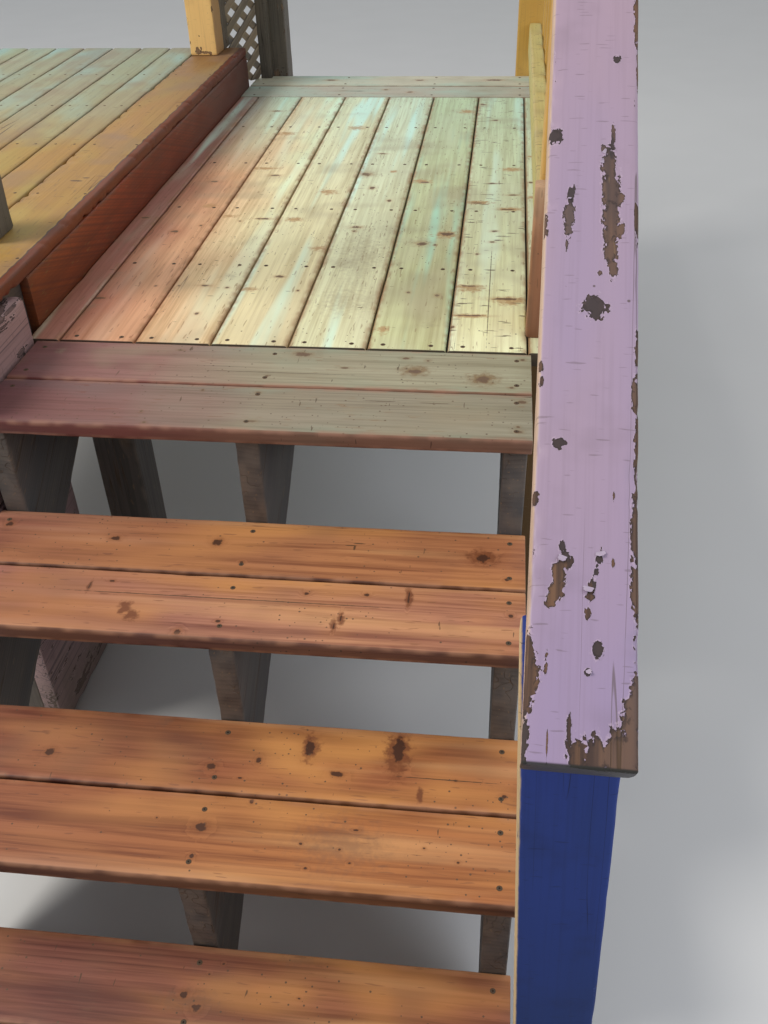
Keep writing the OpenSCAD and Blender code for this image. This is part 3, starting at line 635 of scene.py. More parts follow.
# the landing's boards, each with its own tint and marks; their sweeps paint light and shade across the deck,
# their pale bands are a painted sheen and the left strip's dark tint is a painted shadow
landing = {
    "shape": {"ease": 0.004, "wear": 0.0006, "bitesPerMetre": 1.0},
    "outerTint": (0.84, 0.80, 0.84),  # the outer one of the two boards of a crosswise pair
    "wood": {
        # the pale cyan bands on the landing boards are a painted sheen
        "pale": 0.8, "paleStreakAndSheenTone": (0.7, 0.88, 0.72), "crossFrom": 0.74, "speckled": 0.2, "sawdust": 0.05,
        "rusty": 0.8, "rust": (0.42, 0.24, 0.1), "edge": (0.3, 0.15, 0.065), "edged": 0.6,
        "side": (0.4, 0.28, 0.22), "fibreDark": 2.0, "streakDark": 1.8, "dirty": 0.4,
        # warmer near ends and cooler far ends: painted light and shade
        "sweeps": {
            1: (
                (-0.52, (1.06, 0.96, 0.86)), (-0.2, (1.06, 0.98, 0.9)), (0.5, (0.99, 1.0, 1.0)),
                (1.25, (0.9, 1.04, 1.12)))}},
    "frontWood": {
        "light": (0.35, 0.335, 0.235), "dark": (0.215, 0.195, 0.125), "weatherAndSunBlotch": (0.26, 0.35, 0.265),
        "grey": 0.7, "edge": (0.34, 0.17, 0.11), "edged": 0.5, "speckled": 0.3, "side": (0.6, 0.32, 0.28),
        "fibreDark": 2.2, "rust": (0.2, 0.13, 0.06), "rusty": 0.85, "knotEdge": (0.2, 0.13, 0.06),
        "crossFrom": 0.72, "dirty": 0.45,
        # the front boards darken and redden to the left: painted shade
        "sweeps": {
            0: (
                (-0.04, (0.54, 0.21, 0.31)), (0.25, (0.82, 0.44, 0.51)), (0.42, (1.0, 0.92, 0.9)),
                (0.9, (1.05, 1.05, 1.0)))}},
    "farWood": {
        "light": (0.56, 0.55, 0.42), "dark": (0.38, 0.37, 0.27), "weatherAndSunBlotch": (0.38, 0.58, 0.5), "grey": 0.7,
        "speckled": 0.16, "side": (0.6, 0.45, 0.4)},
    "landing_board_1": {
        "tint": (1, 1, 1),
        "look": {
            # board 1 darkens at its left edge and goes salmon towards its near end: painted shade
            "sweeps": {
                0: ((0.02, (0.82, 0.62, 0.66)), (0.13, (1, 1, 1))),
                1: (
                    (-0.5, (0.94, 0.46, 0.36)), (0.45, (0.98, 0.56, 0.44)), (0.8, (0.92, 0.86, 0.8)),
                    (1.25, (0.76, 0.98, 1.06)))}},
        "knots": [
            (116, 1058, 15.8, 6.1), (89, 388, 10.4, 5.8), (135, 81, 4.2, 5.3), (83, 41, 9.3, 7.2),
            (32, -320, 16.2, 4.5), (130, -256, 3.1, 3.8)],
        "rust": [(121, 212, 17.2, 13.8)], "smudges": [(29, -360, 18, 13.4), (25, -206, 19.1, 15.2)]},
    "landing_board_2": {
        "tint": (1, 1, 1),
        "look": {
            # board 2 goes salmon on its left half and near end: painted shade
            "sweeps": {
                0: ((0.17, (1.06, 0.78, 0.68)), (0.28, (1.08, 1.03, 0.94))),
                1: ((-0.5, (1.02, 0.77, 0.66)), (0.4, (1.13, 1.1, 1.05)), (1.25, (0.93, 1.06, 1.13)))}},
        "knots": [
            (273, 130, 16.5, 5), (234, 443, 13.1, 5.5), (234, -250, 10.3, 4.3), (279, -257, 4.1, 4.2),
            (249, -379, 4.3, 5.5), (219, 113, 3.8, 4.5), (178, -253, 3.1, 4.2)],
        "rust": [(195, 817, 26.5, 18), (186, 144, 23.9, 9), (197, 499, 37.5, 12)],
        "smudges": [(305, -315, 9.9, 54.9), (271, -201, 20.9, 13.1)]},
    "landing_board_3": {
        "tint": (1.1, 1.06, 0.98),
        "look": {
            "sawdust": 0.1, "pale": 0.85, "paleStreakAndSheenTone": (0.66, 0.92, 0.79), "speckled": 0.26,
            # board 3 goes peach towards its near end: painted shade
            "sweeps": {
                1: (
                    (-0.5, (1.06, 0.88, 0.76)), (0.0, (1.05, 0.96, 0.88)), (0.6, (1.0, 1.0, 1.0)),
                    (1.25, (0.92, 1.03, 1.08)))}},
        "knots": [(375, -197, 10.4, 5), (425, -263, 3.2, 4)],
        "rust": [
            (391, 878, 26.6, 20.8), (394, 320, 24.9, 18), (344, 128, 21.1, 14.7), (430, -43, 17.5, 12.7),
            (326, -262, 18.2, 9.5)]},
    "landing_board_4": {
        "tint": (1.02, 1.05, 1.02),
        "look": {"sawdust": 0.3, "speckled": 0.42, "pale": 0.85, "paleStreakAndSheenTone": (0.66, 0.92, 0.79)},
        "knots": [
            (495, 634, 10.9, 5.1), (472, 460, 13, 12), (500, 355, 7.5, 9.2), (497, 87, 11.4, 6.7),
            (495, 61, 4.5, 5.1), (553, 264, 4.8, 7.4)],
        "rust": [(539, 484, 10.4, 9.7)],
        "smudges": [(483, 454, 31.1, 23.9), (526, -76, 45.8, 109.8), (526, -302, 48.8, 63.9)]},
    "landing_board_5": {
        "tint": (0.8, 0.86, 0.72), "look": {"speckled": 0.3, "pale": 1.0, "paleStreakAndSheenTone": (0.46, 0.78, 0.62)},
        "knots": [
            (629, 401, 12.6, 5.8), (705, 54, 15.5, 11.2), (653, -6, 13.1, 9.5), (682, -10, 4.3, 5.9),
            (704, -271, 4.9, 6.4), (647, -260, 3.9, 4.6)],
        "rust": [
            (708, 1059, 24.3, 22.5), (618, 411, 22.7, 15.5), (702, 48, 24.2, 20.8), (616, -427, 9.2, 16.3)],
        "smudges": [(648, 4, 30.7, 28.9), (699, -402, 14.8, 12.4), (611, -114, 12.6, 15.9)]},
    "landing_board_6": {
        "tint": (0.92, 0.97, 0.9),
        "look": {
            "crossFrom": 0.66,
            # board 6 lightens towards its near end: painted light
            "sweeps": {1: ((-0.5, (1.3, 1.16, 1.05)), (0.2, (1.02, 1.0, 0.98)), (1.25, (0.84, 1.0, 1.06)))}},
        "knots": [
            (794, 966, 8.8, 6.6), (752, 1142, 9.3, 8.7), (798, 399, 7.5, 5.1), (851, 315, 14.4, 4.5),
            (767, 256, 14.2, 4.5), (838, 214, 16.3, 4.3), (809, 75, 6.7, 5.1), (806, 11, 6.5, 4.8),
            (775, -58, 4.2, 4.4), (765, -223, 19.8, 3.4), (842, -280, 27, 5.8), (771, -357, 26.2, 3.3),
            (742, -407, 3.7, 5.6)],
        "rust": [
            (846, 509, 28.2, 14.2), (767, 259, 30.9, 11.8), (844, 217, 30.3, 12.7), (767, -233, 31.6, 16.1),
            (847, -289, 32.6, 19.7), (772, -359, 31.8, 9.4)],
        "smudges": [(753, 1124, 30.8, 23.2)], "cracks": [(806, -240, 1.1, 250)]},
    # the left strip's dark rose tint is a painted shadow of the porch
    "landing_left_strip": {"tint": (0.6, 0.27, 0.3), "knots": [(-13, 125, 9.6, 5.5)]},
    "landing_right_strip": {
        "tint": (0.95, 0.97, 0.9), "knots": [(893, 410, 6, 6)],
        "rust": [(893, 300, 12, 10), (893, 620, 12, 8)]},
    "landing_front_boards": {
        "tint": (1, 1, 1),
        "knots": [
            (484, -531, 16, 8.7), (668, -534, 7, 3.8), (707, -541, 3.5, 3.3), (687, -580, 11.9, 7.9),
            (804, -602, 11.7, 11.7), (870, -528, 5.2, 3.7), (852, -626, 4.9, 3.3), (566, -576, 6.9, 2.8),
            (436, -613, 3.4, 3.5), (869, -672, 6.4, 5.4), (863, -748, 3.1, 2.9), (863, -762, 6.1, 4.2),
            (260, -529, 5.5, 2.8), (434, -670, 5, 3.6), (442, -760, 6.4, 3.6), (255, -742, 2.5, 3.1),
            (270, -776, 3.2, 3), (338, -668, 2.5, 3.3)],
        "rust": [(686, -579, 23.9, 18.1), (804, -599, 26.8, 21)],
        "smudges": [(479, -534, 39.1, 18.6), (595, -715, 16.1, 12.4), (43, -544, 11, 11.4)],
        "cracks": [(639, -684, 32.6, 1.5), (727, -685, 32.3, 1.5), (450, -600, 160, 0.9)]},
    "landing_far_boards": {
        "tint": (1, 1, 1),
        "knots": [
            (781, 1452, 30.1, 10.3), (226, 1451, 20.8, 8.8), (511, 1293, 9.8, 8.9), (531, 1451, 13.6, 8.3),
            (429, 1322, 9.9, 7.8)],
        "smudges": [(751, 1312, 32.4, 16.6), (278, 1309, 33.3, 13)]}}
crosswiseWood = {"landing_front_boards": landing["frontWood"], "landing_far_boards": landing["farWood"]}
for name in [n for n in landing if n.startswith("landing_")]:
    marks = landing[name]
    look = {**crosswiseWood.get(name, landing["wood"]), **marks.get("look", {})}
    way = "x" if name in crosswiseWood else "y"
    if way == "y":
        look["cutEnd"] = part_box(name)[0].y
    material = bareWood(name + "_cedar", look, marks)
    parts = []
    for row, box in enumerate(solidBoxes(name)):
        tint = np.array(marks["tint"])
        if way == "x" and row == 0:
            tint = tint * landing["outerTint"]
        parts.append(boxMember(name + str(row), box, way, "z", {**landing["shape"], "tint": tint}))
    dress(name, parts, material)
print("landing made")

# the frame under the decks: (length axis, depth axis)
plain = {"step": 0.06, "heart": (0.0, -0.01), "wear": 0.001}
straight = {
    "landing_left_rim": ("y", "x"),
    "landing_right_rim": ("y", "x"),
    "landing_end_rims": ("x", "y"),
    "landing_leg": ("z", "y"),
    "porch_right_rim": ("y", "x"),
    "porch_left_rim": ("y", "x"),
    "porch_end_rims": ("x", "y"),
    "porch_joists": ("x", "y"),
    "porch_legs": ("z", "y")}
for name, (along, deep) in straight.items():
    parts = [boxMember(name + str(k), box, along, deep, plain) for k, box in enumerate(solidBoxes(name))]
    dress(name, parts, frameWood)
joistBoxes = solidBoxes("landing_joists")
crosswise = 0.3  # a joist that runs across is longer than this in x
longJoists = [box for box in joistBoxes if box[1][0] - box[0][0] > crosswise]
shortJoists = [box for box in joistBoxes if box[1][0] - box[0][0] <= crosswise]
parts = [boxMember("joist%d" % k, box, "x", "y", plain) for k, box in enumerate(longJoists)]
parts += [boxMember("shortJoist%d" % k, box, "y", "x", plain) for k, box in enumerate(shortJoists)]
dress("landing_joists", parts, frameWood)


# A notched plank: its outline's points move in along the mitre while a small profile rounds
# from one broad face over the edge to the other, so the surface is outline times profile.
def notchedPlank(nodeName, look):
    mesh = cadNodes[nodeName].data.copy()
    bm = bmesh.new()
    bm.from_mesh(mesh)
    bmesh.ops.remove_doubles(bm, verts=bm.verts, dist=1e-5)
    bmesh.ops.dissolve_limit(bm, angle_limit=0.02, verts=bm.verts, edges=bm.edges)
    broad = min(bm.faces, key=lambda f: f.calc_center_median().x - 10 * (len(f.verts) > 6))
    corners = np.array([v.co[1:] for v in broad.verts])
    bm.free()
    bpy.data.meshes.remove(mesh)
    x0, x1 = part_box(nodeName)[0].x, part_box(nodeName)[1].x
    rng = seeded(nodeName)
    step = np.roll(corners, -1, 0) - corners
    if (corners[:, 0] * step[:, 1] - corners[:, 1] * step[:, 0]).sum() < 0:
        corners = corners[::-1]
        step = np.roll(corners, -1, 0) - corners
    length = np.linalg.norm(step, axis=1)
    way = step / length[:, None]
    inside = np.stack([-way[:, 1], way[:, 0]], 1)
    before = np.roll(inside, 1, 0)
    mitre = (inside + before) / (1 + (inside * before).sum(1))[:, None]
    points, normals = [], []
    for k in range(len(corners)):
        t = np.linspace(0, 1, max(2, int(length[k] / 0.02)), endpoint=False)[:, None]
        points.append(corners[k] + t * step[k])
        normals.append(np.where(t == 0, mitre[k], inside[k]))
    points, normals = np.concatenate(points), np.concatenate(normals)
    r = look["ease"]
    turn = np.radians(np.linspace(0, 90, 4))
    profile = np.stack([r - r * np.sin(turn), r - r * np.cos(turn), turn * 0 + 1], 1)
    profile = np.concatenate([[[r + 0.008, 0, 0]], profile])
    profile = np.concatenate([profile, (profile * [1, -1, 1] + [0, x1 - x0, 0])[::-1]])
    worn = look["wear"] * rng.uniform(0, 1, len(points)) ** 2
    shrink = profile[:, 0][None] + worn[:, None] * profile[:, 2][None]
    yz = points[:, None] + normals[:, None] * shrink[..., None]
    co = np.concatenate([np.broadcast_to((x0 + profile[:, 1])[None, :, None], yz.shape[:2] + (1,)), yz], -1)
    co = co.transpose(1, 0, 2)
    rows, cols = co.shape[:2]
    flat = co.reshape(-1, 3)
    corners, counts = tubeFaces(rows, cols)
    lean = np.radians(look["slope"])
    place = np.stack([flat[:, 1] * np.cos(lean) + flat[:, 2] * np.sin(lean),
                      flat[:, 2] * np.cos(lean) - flat[:, 1] * np.sin(lean), flat[:, 0]], 1)
    edge = np.broadcast_to(profile[:, 2][:, None], (rows, cols)).reshape(-1)
    return {"co": flat, "corners": corners, "counts": counts, "place": place, "edge": edge,
            "grain": place + [rng.uniform(0, 30), rng.uniform(-0.05, 0.05), 0.06 - x0],
            "tint": np.ones((len(flat), 4))}


stringer = {"ease": 0.003, "wear": 0.003, "slope": 34.9}
stringers = ("left_stringer", "middle_stringer", "right_stringer")
for name in stringers:
    dress(name, [notchedPlank(name, stringer)], frameWood)
print("frame under the decks made")

# how a post is worn: roundings, wear and bites in metres, and how closely its points lie
post = {"step": 0.02, "spacing": 0.02, "ease": 0.004, "wear": 0.0012, "bitesPerMetre": 2, "biteDepth": 0.002}
# the handrail has its own axes: along it, across it and square to its top. Its turn, its slope and the
# newel's lean are in degrees; shadedHoles (dark spots of painted shade) and bare patches are (along,
# across, half length, half width) in millimetres.
handrail = {
    "start": (0.855185, -1.5445, 0.937),
    "turn": 0.95686,
    "slope": 31.27952,
    "capThick": 0.038,
    "capWide": 0.092,
    "railDeep": 0.089,
    "lean": 2.66,
    "footLift": 0.0002,
    "shape": {
        "step": 0.003, "spacing": 0.003, "ease": 0.004, "wear": 0.001, "bitesPerMetre": 9, "biteDepth": 0.003,
        "biteWidth": 0.012},
    "paint": (0.395, 0.288, 0.365),
    # the cap's left side face is painted cream: painted light
    "coat": {
        "second": (0.36, 0.275, 0.395), "side": (0.53, 0.375, 0.275),
        "wood": {
            "light": (0.175, 0.092, 0.052), "dark": (0.06, 0.034, 0.026), "weatherAndSunBlotch": (0.125, 0.088, 0.082),
            "grey": 0.8, "streakDark": 2.8, "fibreDark": 1.8},
        "shadedHoles": [
            (739, 69, 6, 5), (634, 7, 12, 10), (427.5, 50.8, 13.5, 12), (283.2, 21.4, 7, 8),
            (180, 28.5, 10, 6), (560, 26.2, 12, 4), (165, 56.5, 22, 5), (96, 58, 8, 5), (14.2, 0.5, 22, 5),
            (622, 64.5, 16, 3), (77.1, 50.8, 4, 4), (-4, 50, 6, 50)],
        "end": (0.022, 0.022, 0.018), "keep": 0.6, "brushed": 0.1, "dirty": 0.22, "nicks": 0.45,
        "dirt": (0.15, 0.11, 0.12),
        "sweeps": {0: ((-0.05, (0.88, 0.9, 1.08)), (0.35, (1.0, 1.0, 1.02)), (0.9, (1.02, 0.99, 0.95)))}},
    # the newel wears the cap's lavender as it looks in shade, a dark blue (painted shade); its left side is
    # painted pale ochre and its sweep lightens it towards the top, both painted light
    "newelShadedLavender": (0.019, 0.04, 0.205),
    "newelCoat": {
        "second": (0.017, 0.037, 0.16), "side": (0.52, 0.38, 0.21), "keep": 0.64, "brushed": 0.12,
        "nicks": 0.4, "dirty": 0.3, "dirt": (0.012, 0.014, 0.03), "specular": 0.12, "rough": 0.65,
        "sweeps": {
            0: (
                (0.4, (0.8, 0.9, 0.8)), (0.565, (0.96, 1.0, 0.89)), (0.72, (1.2, 1.16, 1.05)),
                (0.88, (1.5, 1.3, 1.18)))}},
    # the upper newel darkens to near black below the landing: painted shade
    "upperPaint": (0.62, 0.37, 0.1),
    "upperCoat": {
        "second": (0.55, 0.3, 0.07), "keep": 0.66, "dirt": (0.16, 0.1, 0.05),
        "sweeps": {0: ((0.0, (0.16, 0.15, 0.17)), (0.7, (0.2, 0.18, 0.2)), (0.8, (1, 1, 1)))}},
    "patches": [
        (632, 66, 22, 1.8), (598, 62, 20, 7.2), (568, 64, 30, 8.5), (557.7, 73, 7, 5), (530, 65, 32, 8.5),
        (517.7, 74.5, 9, 4.5), (495, 65, 22, 6), (472, 67.5, 14, 4.2), (618, 56, 6, 2.2),
        (560, 26.2, 12, 3.4), (535, 24, 20, 5.6), (516, 23.4, 8, 3.8), (499, 22.8, 8, 1.6),
        (634, 7, 9.5, 7.8), (739, 69, 5.5, 4), (428, 50.8, 13.5, 9), (427, 50.8, 7, 13),
        (466.7, 54.9, 3.5, 2.2), (283.2, 21.4, 6, 6.2), (186, 27, 6, 2.6), (172, 30, 7, 6),
        (158.8, 25.5, 12, 6), (144, 22.5, 10, 6.2), (134.4, 19, 5.5, 4.6), (184.5, 60.6, 5, 1.6),
        (174.4, 58.2, 5.5, 3), (164, 56.2, 6, 1.8), (151.7, 52.7, 6.5, 3), (141, 51.3, 3, 3.6),
        (127.8, 49.9, 6, 2.6), (96, 58, 7.5, 4.8), (173.4, 70, 5, 1.6), (77.1, 50.8, 3, 3), (88, 1, 20, 6),
        (70, 3, 18, 8.5), (50, 1, 16, 5), (14.2, 0.5, 22, 4), (89.6, 17.3, 3.5, 1.4), (77.8, 16.9, 4.5, 1),
        (25, 36.5, 20, 2), (4, 44, 18, 7.5), (8, 58, 19, 10), (11, 74, 22, 11), (22, 86, 37, 8.5),
        (50, 90, 30, 5), (200, 90.5, 45, 5.8), (150, 90, 30, 5), (270, 91.5, 50, 3.8), (335, 90.5, 22, 5),
        (382, 91.5, 20, 3.5), (233.4, 70.2, 4.5, 1.2), (800, 90.5, 40, 4), (730, 91.5, 30, 2.2),
        (361.6, 2.6, 5, 2.2), (345, 3.9, 6, 2), (228.2, 2, 6, 4), (15.7, 19.8, 12, 0.8), (920, 33, 6, 1.6),
        (1060, 60, 22, 6), (1180, 20, 30, 5)]}
turn, slope = math.radians(handrail["turn"]), math.radians(handrail["slope"])
tilt = Matrix.Rotation(-turn, 3, "Z") @ Matrix.Rotation(slope, 3, "X")
railAcross, railAlong, railUp = np.array(tilt).T
railStart = np.array(handrail["start"])
underCap = railStart - handrail["capThick"] * railUp
capHigh = np.array(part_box("handrail_cap")[1])
newelLow, newelHigh = (np.array(c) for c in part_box("upper_newel"))
footLow, footHigh = (np.array(c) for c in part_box("lower_newel"))
capPaint = oldPaint("lavenderPaint", handrail["paint"], handrail["coat"], True)
railCoat = {**handrail["coat"], "side": None, "end": None, "peel": 0.9}
railPaint = oldPaint("railLavender", handrail["paint"], railCoat)
newelShadedLavender = oldPaint("newelShadedLavender", handrail["newelShadedLavender"], handrail["newelCoat"])
cap = member("cap", underCap, railAlong, railAcross, railUp, (handrail["capWide"], handrail["capThick"]),
             [(railStart, -railAlong), (capHigh, yAxis)], handrail["shape"])
cap["bare"] = bareness(cap["place"], handrail["patches"], handrail["capThick"])
dress("handrail_cap", [cap], capPaint)
thick = handrail["capThick"]
railFoot = underCap - handrail["railDeep"] * railUp + (handrail["capWide"] - thick) / 2 * railAcross
railLow, railHigh = (corner.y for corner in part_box("stair_rail"))
rail = member("stairRail", railFoot, railAlong, railAcross, railUp, (thick, handrail["railDeep"]),
              [((0, railLow, 0), -yAxis), ((0, railHigh, 0), yAxis)])
dress("stair_rail", [rail], railPaint)
lean = math.radians(handrail["lean"])
upright = np.array([-math.sin(lean), 0, math.cos(lean)])
sideways = np.array([math.cos(lean), 0, math.sin(lean)])
postWide = footHigh[1] - footLow[1]
foot = np.array([footHigh[0] - postWide / math.cos(lean), footLow[1], 0])
newel = member("lowerNewel", foot, upright, sideways, yAxis, (postWide, postWide),
               [((0, 0, handrail["footLift"]), -zAxis), (underCap, railUp)], post)
dress("lower_newel", [newel], newelShadedLavender)
newel = member("upperNewel", newelLow, zAxis, xAxis, yAxis, (postWide, postWide),
               [(newelLow, -zAxis), (newelHigh, zAxis), (underCap, railUp)], post)
upperPaint = oldPaint("upperNewelPaint", handrail["upperPaint"], handrail["upperCoat"])
dress("upper_newel", [newel], upperPaint)


# A curled flake of paint: its section is carried along an arc that starts flat on the board and
# rises, so point = start + R sin(u) along + R (1 - cos(u)) up, with u from 0 to the curl.
def flake(name, start, along, across, up, size, curl):
    rng = seeded(name)
    length, width = size
    u = np.linspace(0, curl, 7)[:, None]
    b = np.linspace(-0.5, 0.5, 5)
    b = np.concatenate([b, b[::-1]])[None]
    lift = np.repeat([0.0, 0.00025], 5)[None]
    radius = length / curl
    taper = 1 - 0.5 * (u / curl) ** 2 + 0.15 * rng.uniform(-1, 1, (7, 1))
    run = (radius - lift) * np.sin(u)
    rise = 0.0002 + radius - (radius - lift) * np.cos(u)
    co = start + run[..., None] * along + (b * width * taper)[..., None] * across + rise[..., None] * up
    corners, counts = tubeFaces(7, 10, np.cross(across, up) @ along < 0)
    return {"co": co.reshape(-1, 3), "corners": corners, "counts": counts}


# small curls that still hang on beside the bare patches: (along, across, length, width, turn in
# degrees, curl in radians)
flakes = {
    "places": [
        (0.1765, 0.028, 0.0065, 0.0075, 200, 0.8), (0.182, 0.059, 0.005, 0.009, 165, 0.7),
        (0.15, 0.05, 0.006, 0.009, 190, 0.9), (0.079, 0.0505, 0.0045, 0.0045, 150, 0.8),
        (0.6125, 0.0565, 0.005, 0.004, 30, 1.0), (0.6, 0.055, 0.005, 0.004, 10, 1.1),
        (0.556, 0.024, 0.003, 0.0035, 180, 0.9)],
    "paint": (0.47, 0.38, 0.48)}
material, tree = startMaterial("curledPaint")
mottle = noise(objectPlace(tree), 260, 3)
mottled = blend(mottle, flakes["paint"], tuple(0.8 * c for c in flakes["paint"]))
finishMaterial(tree, mottled, 0.5, mottle, 0.0002)
parts = []
for k, (s, b, long, wide, turn, curl) in enumerate(flakes["places"]):
    angle = math.radians(turn)
    way = math.cos(angle) * railAlong + math.sin(angle) * railAcross
    beside = -math.sin(angle) * railAlong + math.cos(angle) * railAcross
    start = railStart + s * railAlong + b * railAcross
    parts.append(flake("flake%d" % k, start, way, beside, railUp, (long, wide), curl))
surface("cap_flakes", parts, material, 60)
print("handrail made")

# painted and stained timbers round the decks
timber = {
    "ochre": oldPaint("ochrePaint", (0.54, 0.325, 0.075), {
        "second": (0.47, 0.255, 0.052), "brushed": 0.2, "nicks": 0.5, "keep": 0.66,
        "dirt": (0.2, 0.12, 0.05)}),
    # the corner post's right side face is painted darker: painted shade
    "cornerPost": oldPaint("cornerPostPaint", (0.76, 0.49, 0.19), {
        "second": (0.72, 0.44, 0.155), "keep": 0.64, "side": (0.42, 0.25, 0.11), "sideFrom": (0.0855, 0.088),
        "brushed": 0.15, "nicks": 0.2, "dirt": (0.25, 0.15, 0.08),
        "wood": {"light": (0.26, 0.15, 0.07)}}, True),
    "railTop": bareWood("railTop", {
        "light": (0.61, 0.52, 0.2), "dark": (0.46, 0.33, 0.1), "weatherAndSunBlotch": (0.52, 0.51, 0.25), "grey": 0.5,
        "crossFrom": 0.66, "edge": (0.5, 0.36, 0.14), "edged": 0.4}),
    # the block darkens towards its foot: painted shadow
    "block": bareWood("newelBlock", {
        "light": (0.56, 0.35, 0.19), "dark": (0.38, 0.2, 0.1), "weatherAndSunBlotch": (0.42, 0.26, 0.15), "speckled": 0.25,
        "sweeps": {2: ((0.78, (0.46, 0.32, 0.28)), (0.9, (0.7, 0.5, 0.42)), (1.03, (1, 1, 1)))}}),
    "weathered": oldPaint("weatheredPost", (0.135, 0.115, 0.092), {
        "second": (0.085, 0.082, 0.074), "peel": 0.95, "specular": 0.2, "keep": 0.6,
        "dirt": (0.03, 0.028, 0.025), "brushed": 0.5,
        "wood": {"light": (0.2, 0.135, 0.09), "dark": (0.07, 0.05, 0.035)}}),
    # the porch boards turn grey-green towards the far end: painted sunlight
    "porch": bareWood("porchStain", {
        "light": (0.46, 0.285, 0.09), "dark": (0.28, 0.15, 0.045), "weatherAndSunBlotch": (0.44, 0.38, 0.18), "grey": 0.75,
        "knotChance": 0.05, "smudge": (0.24, 0.16, 0.1), "dirty": 0.45, "crossFrom": 0.72,
        "edge": (0.22, 0.13, 0.07), "relief": 0.0005, "side": (0.35, 0.28, 0.28), "sideFrom": (0.003, 0.001),
        "sweeps": {
            1: (
                (-0.8, (0.86, 0.78, 0.54)), (0.25, (0.88, 0.81, 0.58)), (0.55, (0.78, 1.12, 1.8)),
                (1.35, (0.66, 1.24, 2.5)))}}),
    # the edge board's outer side is multiplied darker as painted shade, a ragged dark line along its outer
    # edge is a painted shadow, and its sweep cools the near end and darkens the far end
    "edgeBoard": bareWood("porchEdge", {
        "light": (0.47, 0.275, 0.075), "dark": (0.29, 0.145, 0.04), "weatherAndSunBlotch": (0.44, 0.36, 0.14),
        "side": (0.4, 0.15, 0.13), "sideFrom": (0.135, 0.138), "fray": 0.01, "raggedShadeLine": (0.06, 0.035, 0.032),
        "grey": 0.7, "knotChance": 0.0, "smudge": (0.24, 0.15, 0.1), "dirty": 0.5, "crossFrom": 0.7,
        "edge": (0.1, 0.045, 0.03), "edged": 0.5, "relief": 0.0006,
        "sweeps": {
            1: (
                (-0.8, (0.8, 0.84, 1.1)), (-0.35, (0.99, 0.96, 0.84)), (0.6, (0.85, 0.75, 0.75)),
                (1.35, (0.52, 0.46, 0.6)))}}, {
        "smudges": [(-120, -520, 70, 100), (-100, -350, 40, 50), (-130, 350, 30, 20)],
        "cracks": [(-115, 20, 16, 6), (-100, 40, 10, 4)]}),
    # the fascia darkens towards the bottom, and towards the far end as painted shade
    "fascia": bareWood("fasciaStain", {
        "light": (0.23, 0.046, 0.014), "dark": (0.085, 0.019, 0.008), "grey": 0.35,
        "weatherAndSunBlotch": (0.13, 0.034, 0.01), "sawn": (0, 45, 135), "knot": (0.03, 0.012, 0.01),
        "knotEdge": (0.07, 0.025, 0.015), "smudge": (0.06, 0.03, 0.02), "speckled": 0.2, "crossFrom": 0.73,
        "sweeps": {
            2: ((0.6, (0.45, 0.5, 0.55)), (0.72, (0.75, 0.75, 0.75)), (0.85, (1.1, 1.0, 0.9))),
            1: (
                (-0.46, (0.86, 1.1, 0.75)), (0.1, (1.05, 0.98, 0.95)), (0.7, (0.76, 0.76, 0.85)),
                (1.37, (0.22, 0.27, 0.44)))}}),
    "skirt": oldPaint("skirtPaint", (0.35, 0.225, 0.215), {
        "second": (0.24, 0.145, 0.155), "peel": 1.0, "keep": 0.5, "peelScale": (5, 20, 20), "dirty": 0.7,
        "brushed": 0.4, "dirt": (0.1, 0.07, 0.075),
        "wood": {
            "light": (0.2, 0.13, 0.11), "dark": (0.09, 0.06, 0.055), "checkFrom": 0.42, "checkWide": 0.03}})}
tornEdge = {
    "ease": 0.004, "wear": 0.0012, "step": 0.008, "bitesPerMetre": 12, "biteDepth": 0.0055, "biteWidth": 0.01}
# each of the others: (length axis, depth axis, finish, slot, shape)
others = {
    "newel_block": ("z", "y", "block", "bare_pine", post),
    "guard_bottom_rail": ("y", "x", "railTop", "ochre_paint", post),
    "guard_top_rail": ("y", "x", "ochre", "ochre_paint", post),
    "guard_cap": ("y", "z", "ochre", "ochre_paint", post),
    "guard_balusters": ("z", "x", "ochre", "ochre_paint", post),
    "far_right_post": ("z", "y", "ochre", "ochre_paint", post),
    "far_left_post": ("z", "y", "weathered", "grey_green_paint", {**post, "endEase": 0.006}),
    "porch_edge_board": ("y", "z", "edgeBoard", "porch_ochre", tornEdge),
    "porch_boards": ("y", "z", "porch", "porch_ochre", {"ease": 0.004, "wear": 0.001}),
    "porch_fascia": ("y", "x", "fascia", "fascia_stain", {"ease": 0.003, "wear": 0.001}),
    "porch_skirt": (
        "y", "x", "skirt", "skirt_paint", {**post, "wear": 0.003, "biteDepth": 0.006, "bitesPerMetre": 8}),
    "porch_corner_post": (
        "z", "y", "cornerPost", "ochre_paint", {**post, "endEase": 0.006, "step": 0.003, "spacing": 0.003}),
    "porch_near_post": ("z", "y", "weathered", "grey_green_paint", {**post, "endEase": 0.006})}
# where the corner post's paint is chipped at its foot, as the handrail's patches
footChips = [
    (890, 26, 10, 9), (897, 36, 6, 3), (886, 48, 4, 16), (899, 24, 4, 3), (884, 66, 5, 6), (935, 35, 3, 2)]
for name, (along, deep, finish, slot, look) in others.items():
    rng = seeded(name)
    parts = []
    for k, box in enumerate(solidBoxes(name)):
        shade = rng.uniform(0.88, 1.08)
        tint = (shade, shade * rng.uniform(0.96, 1.03), shade * rng.uniform(0.92, 1.06))
        parts.append(boxMember(name + str(k), box, along, deep, {**look, "tint": tint}))
    if finish == "cornerPost":
        parts[0]["bare"] = bareness(parts[0]["place"], footChips, 0.0)
    dress(name, parts, timber[finish])

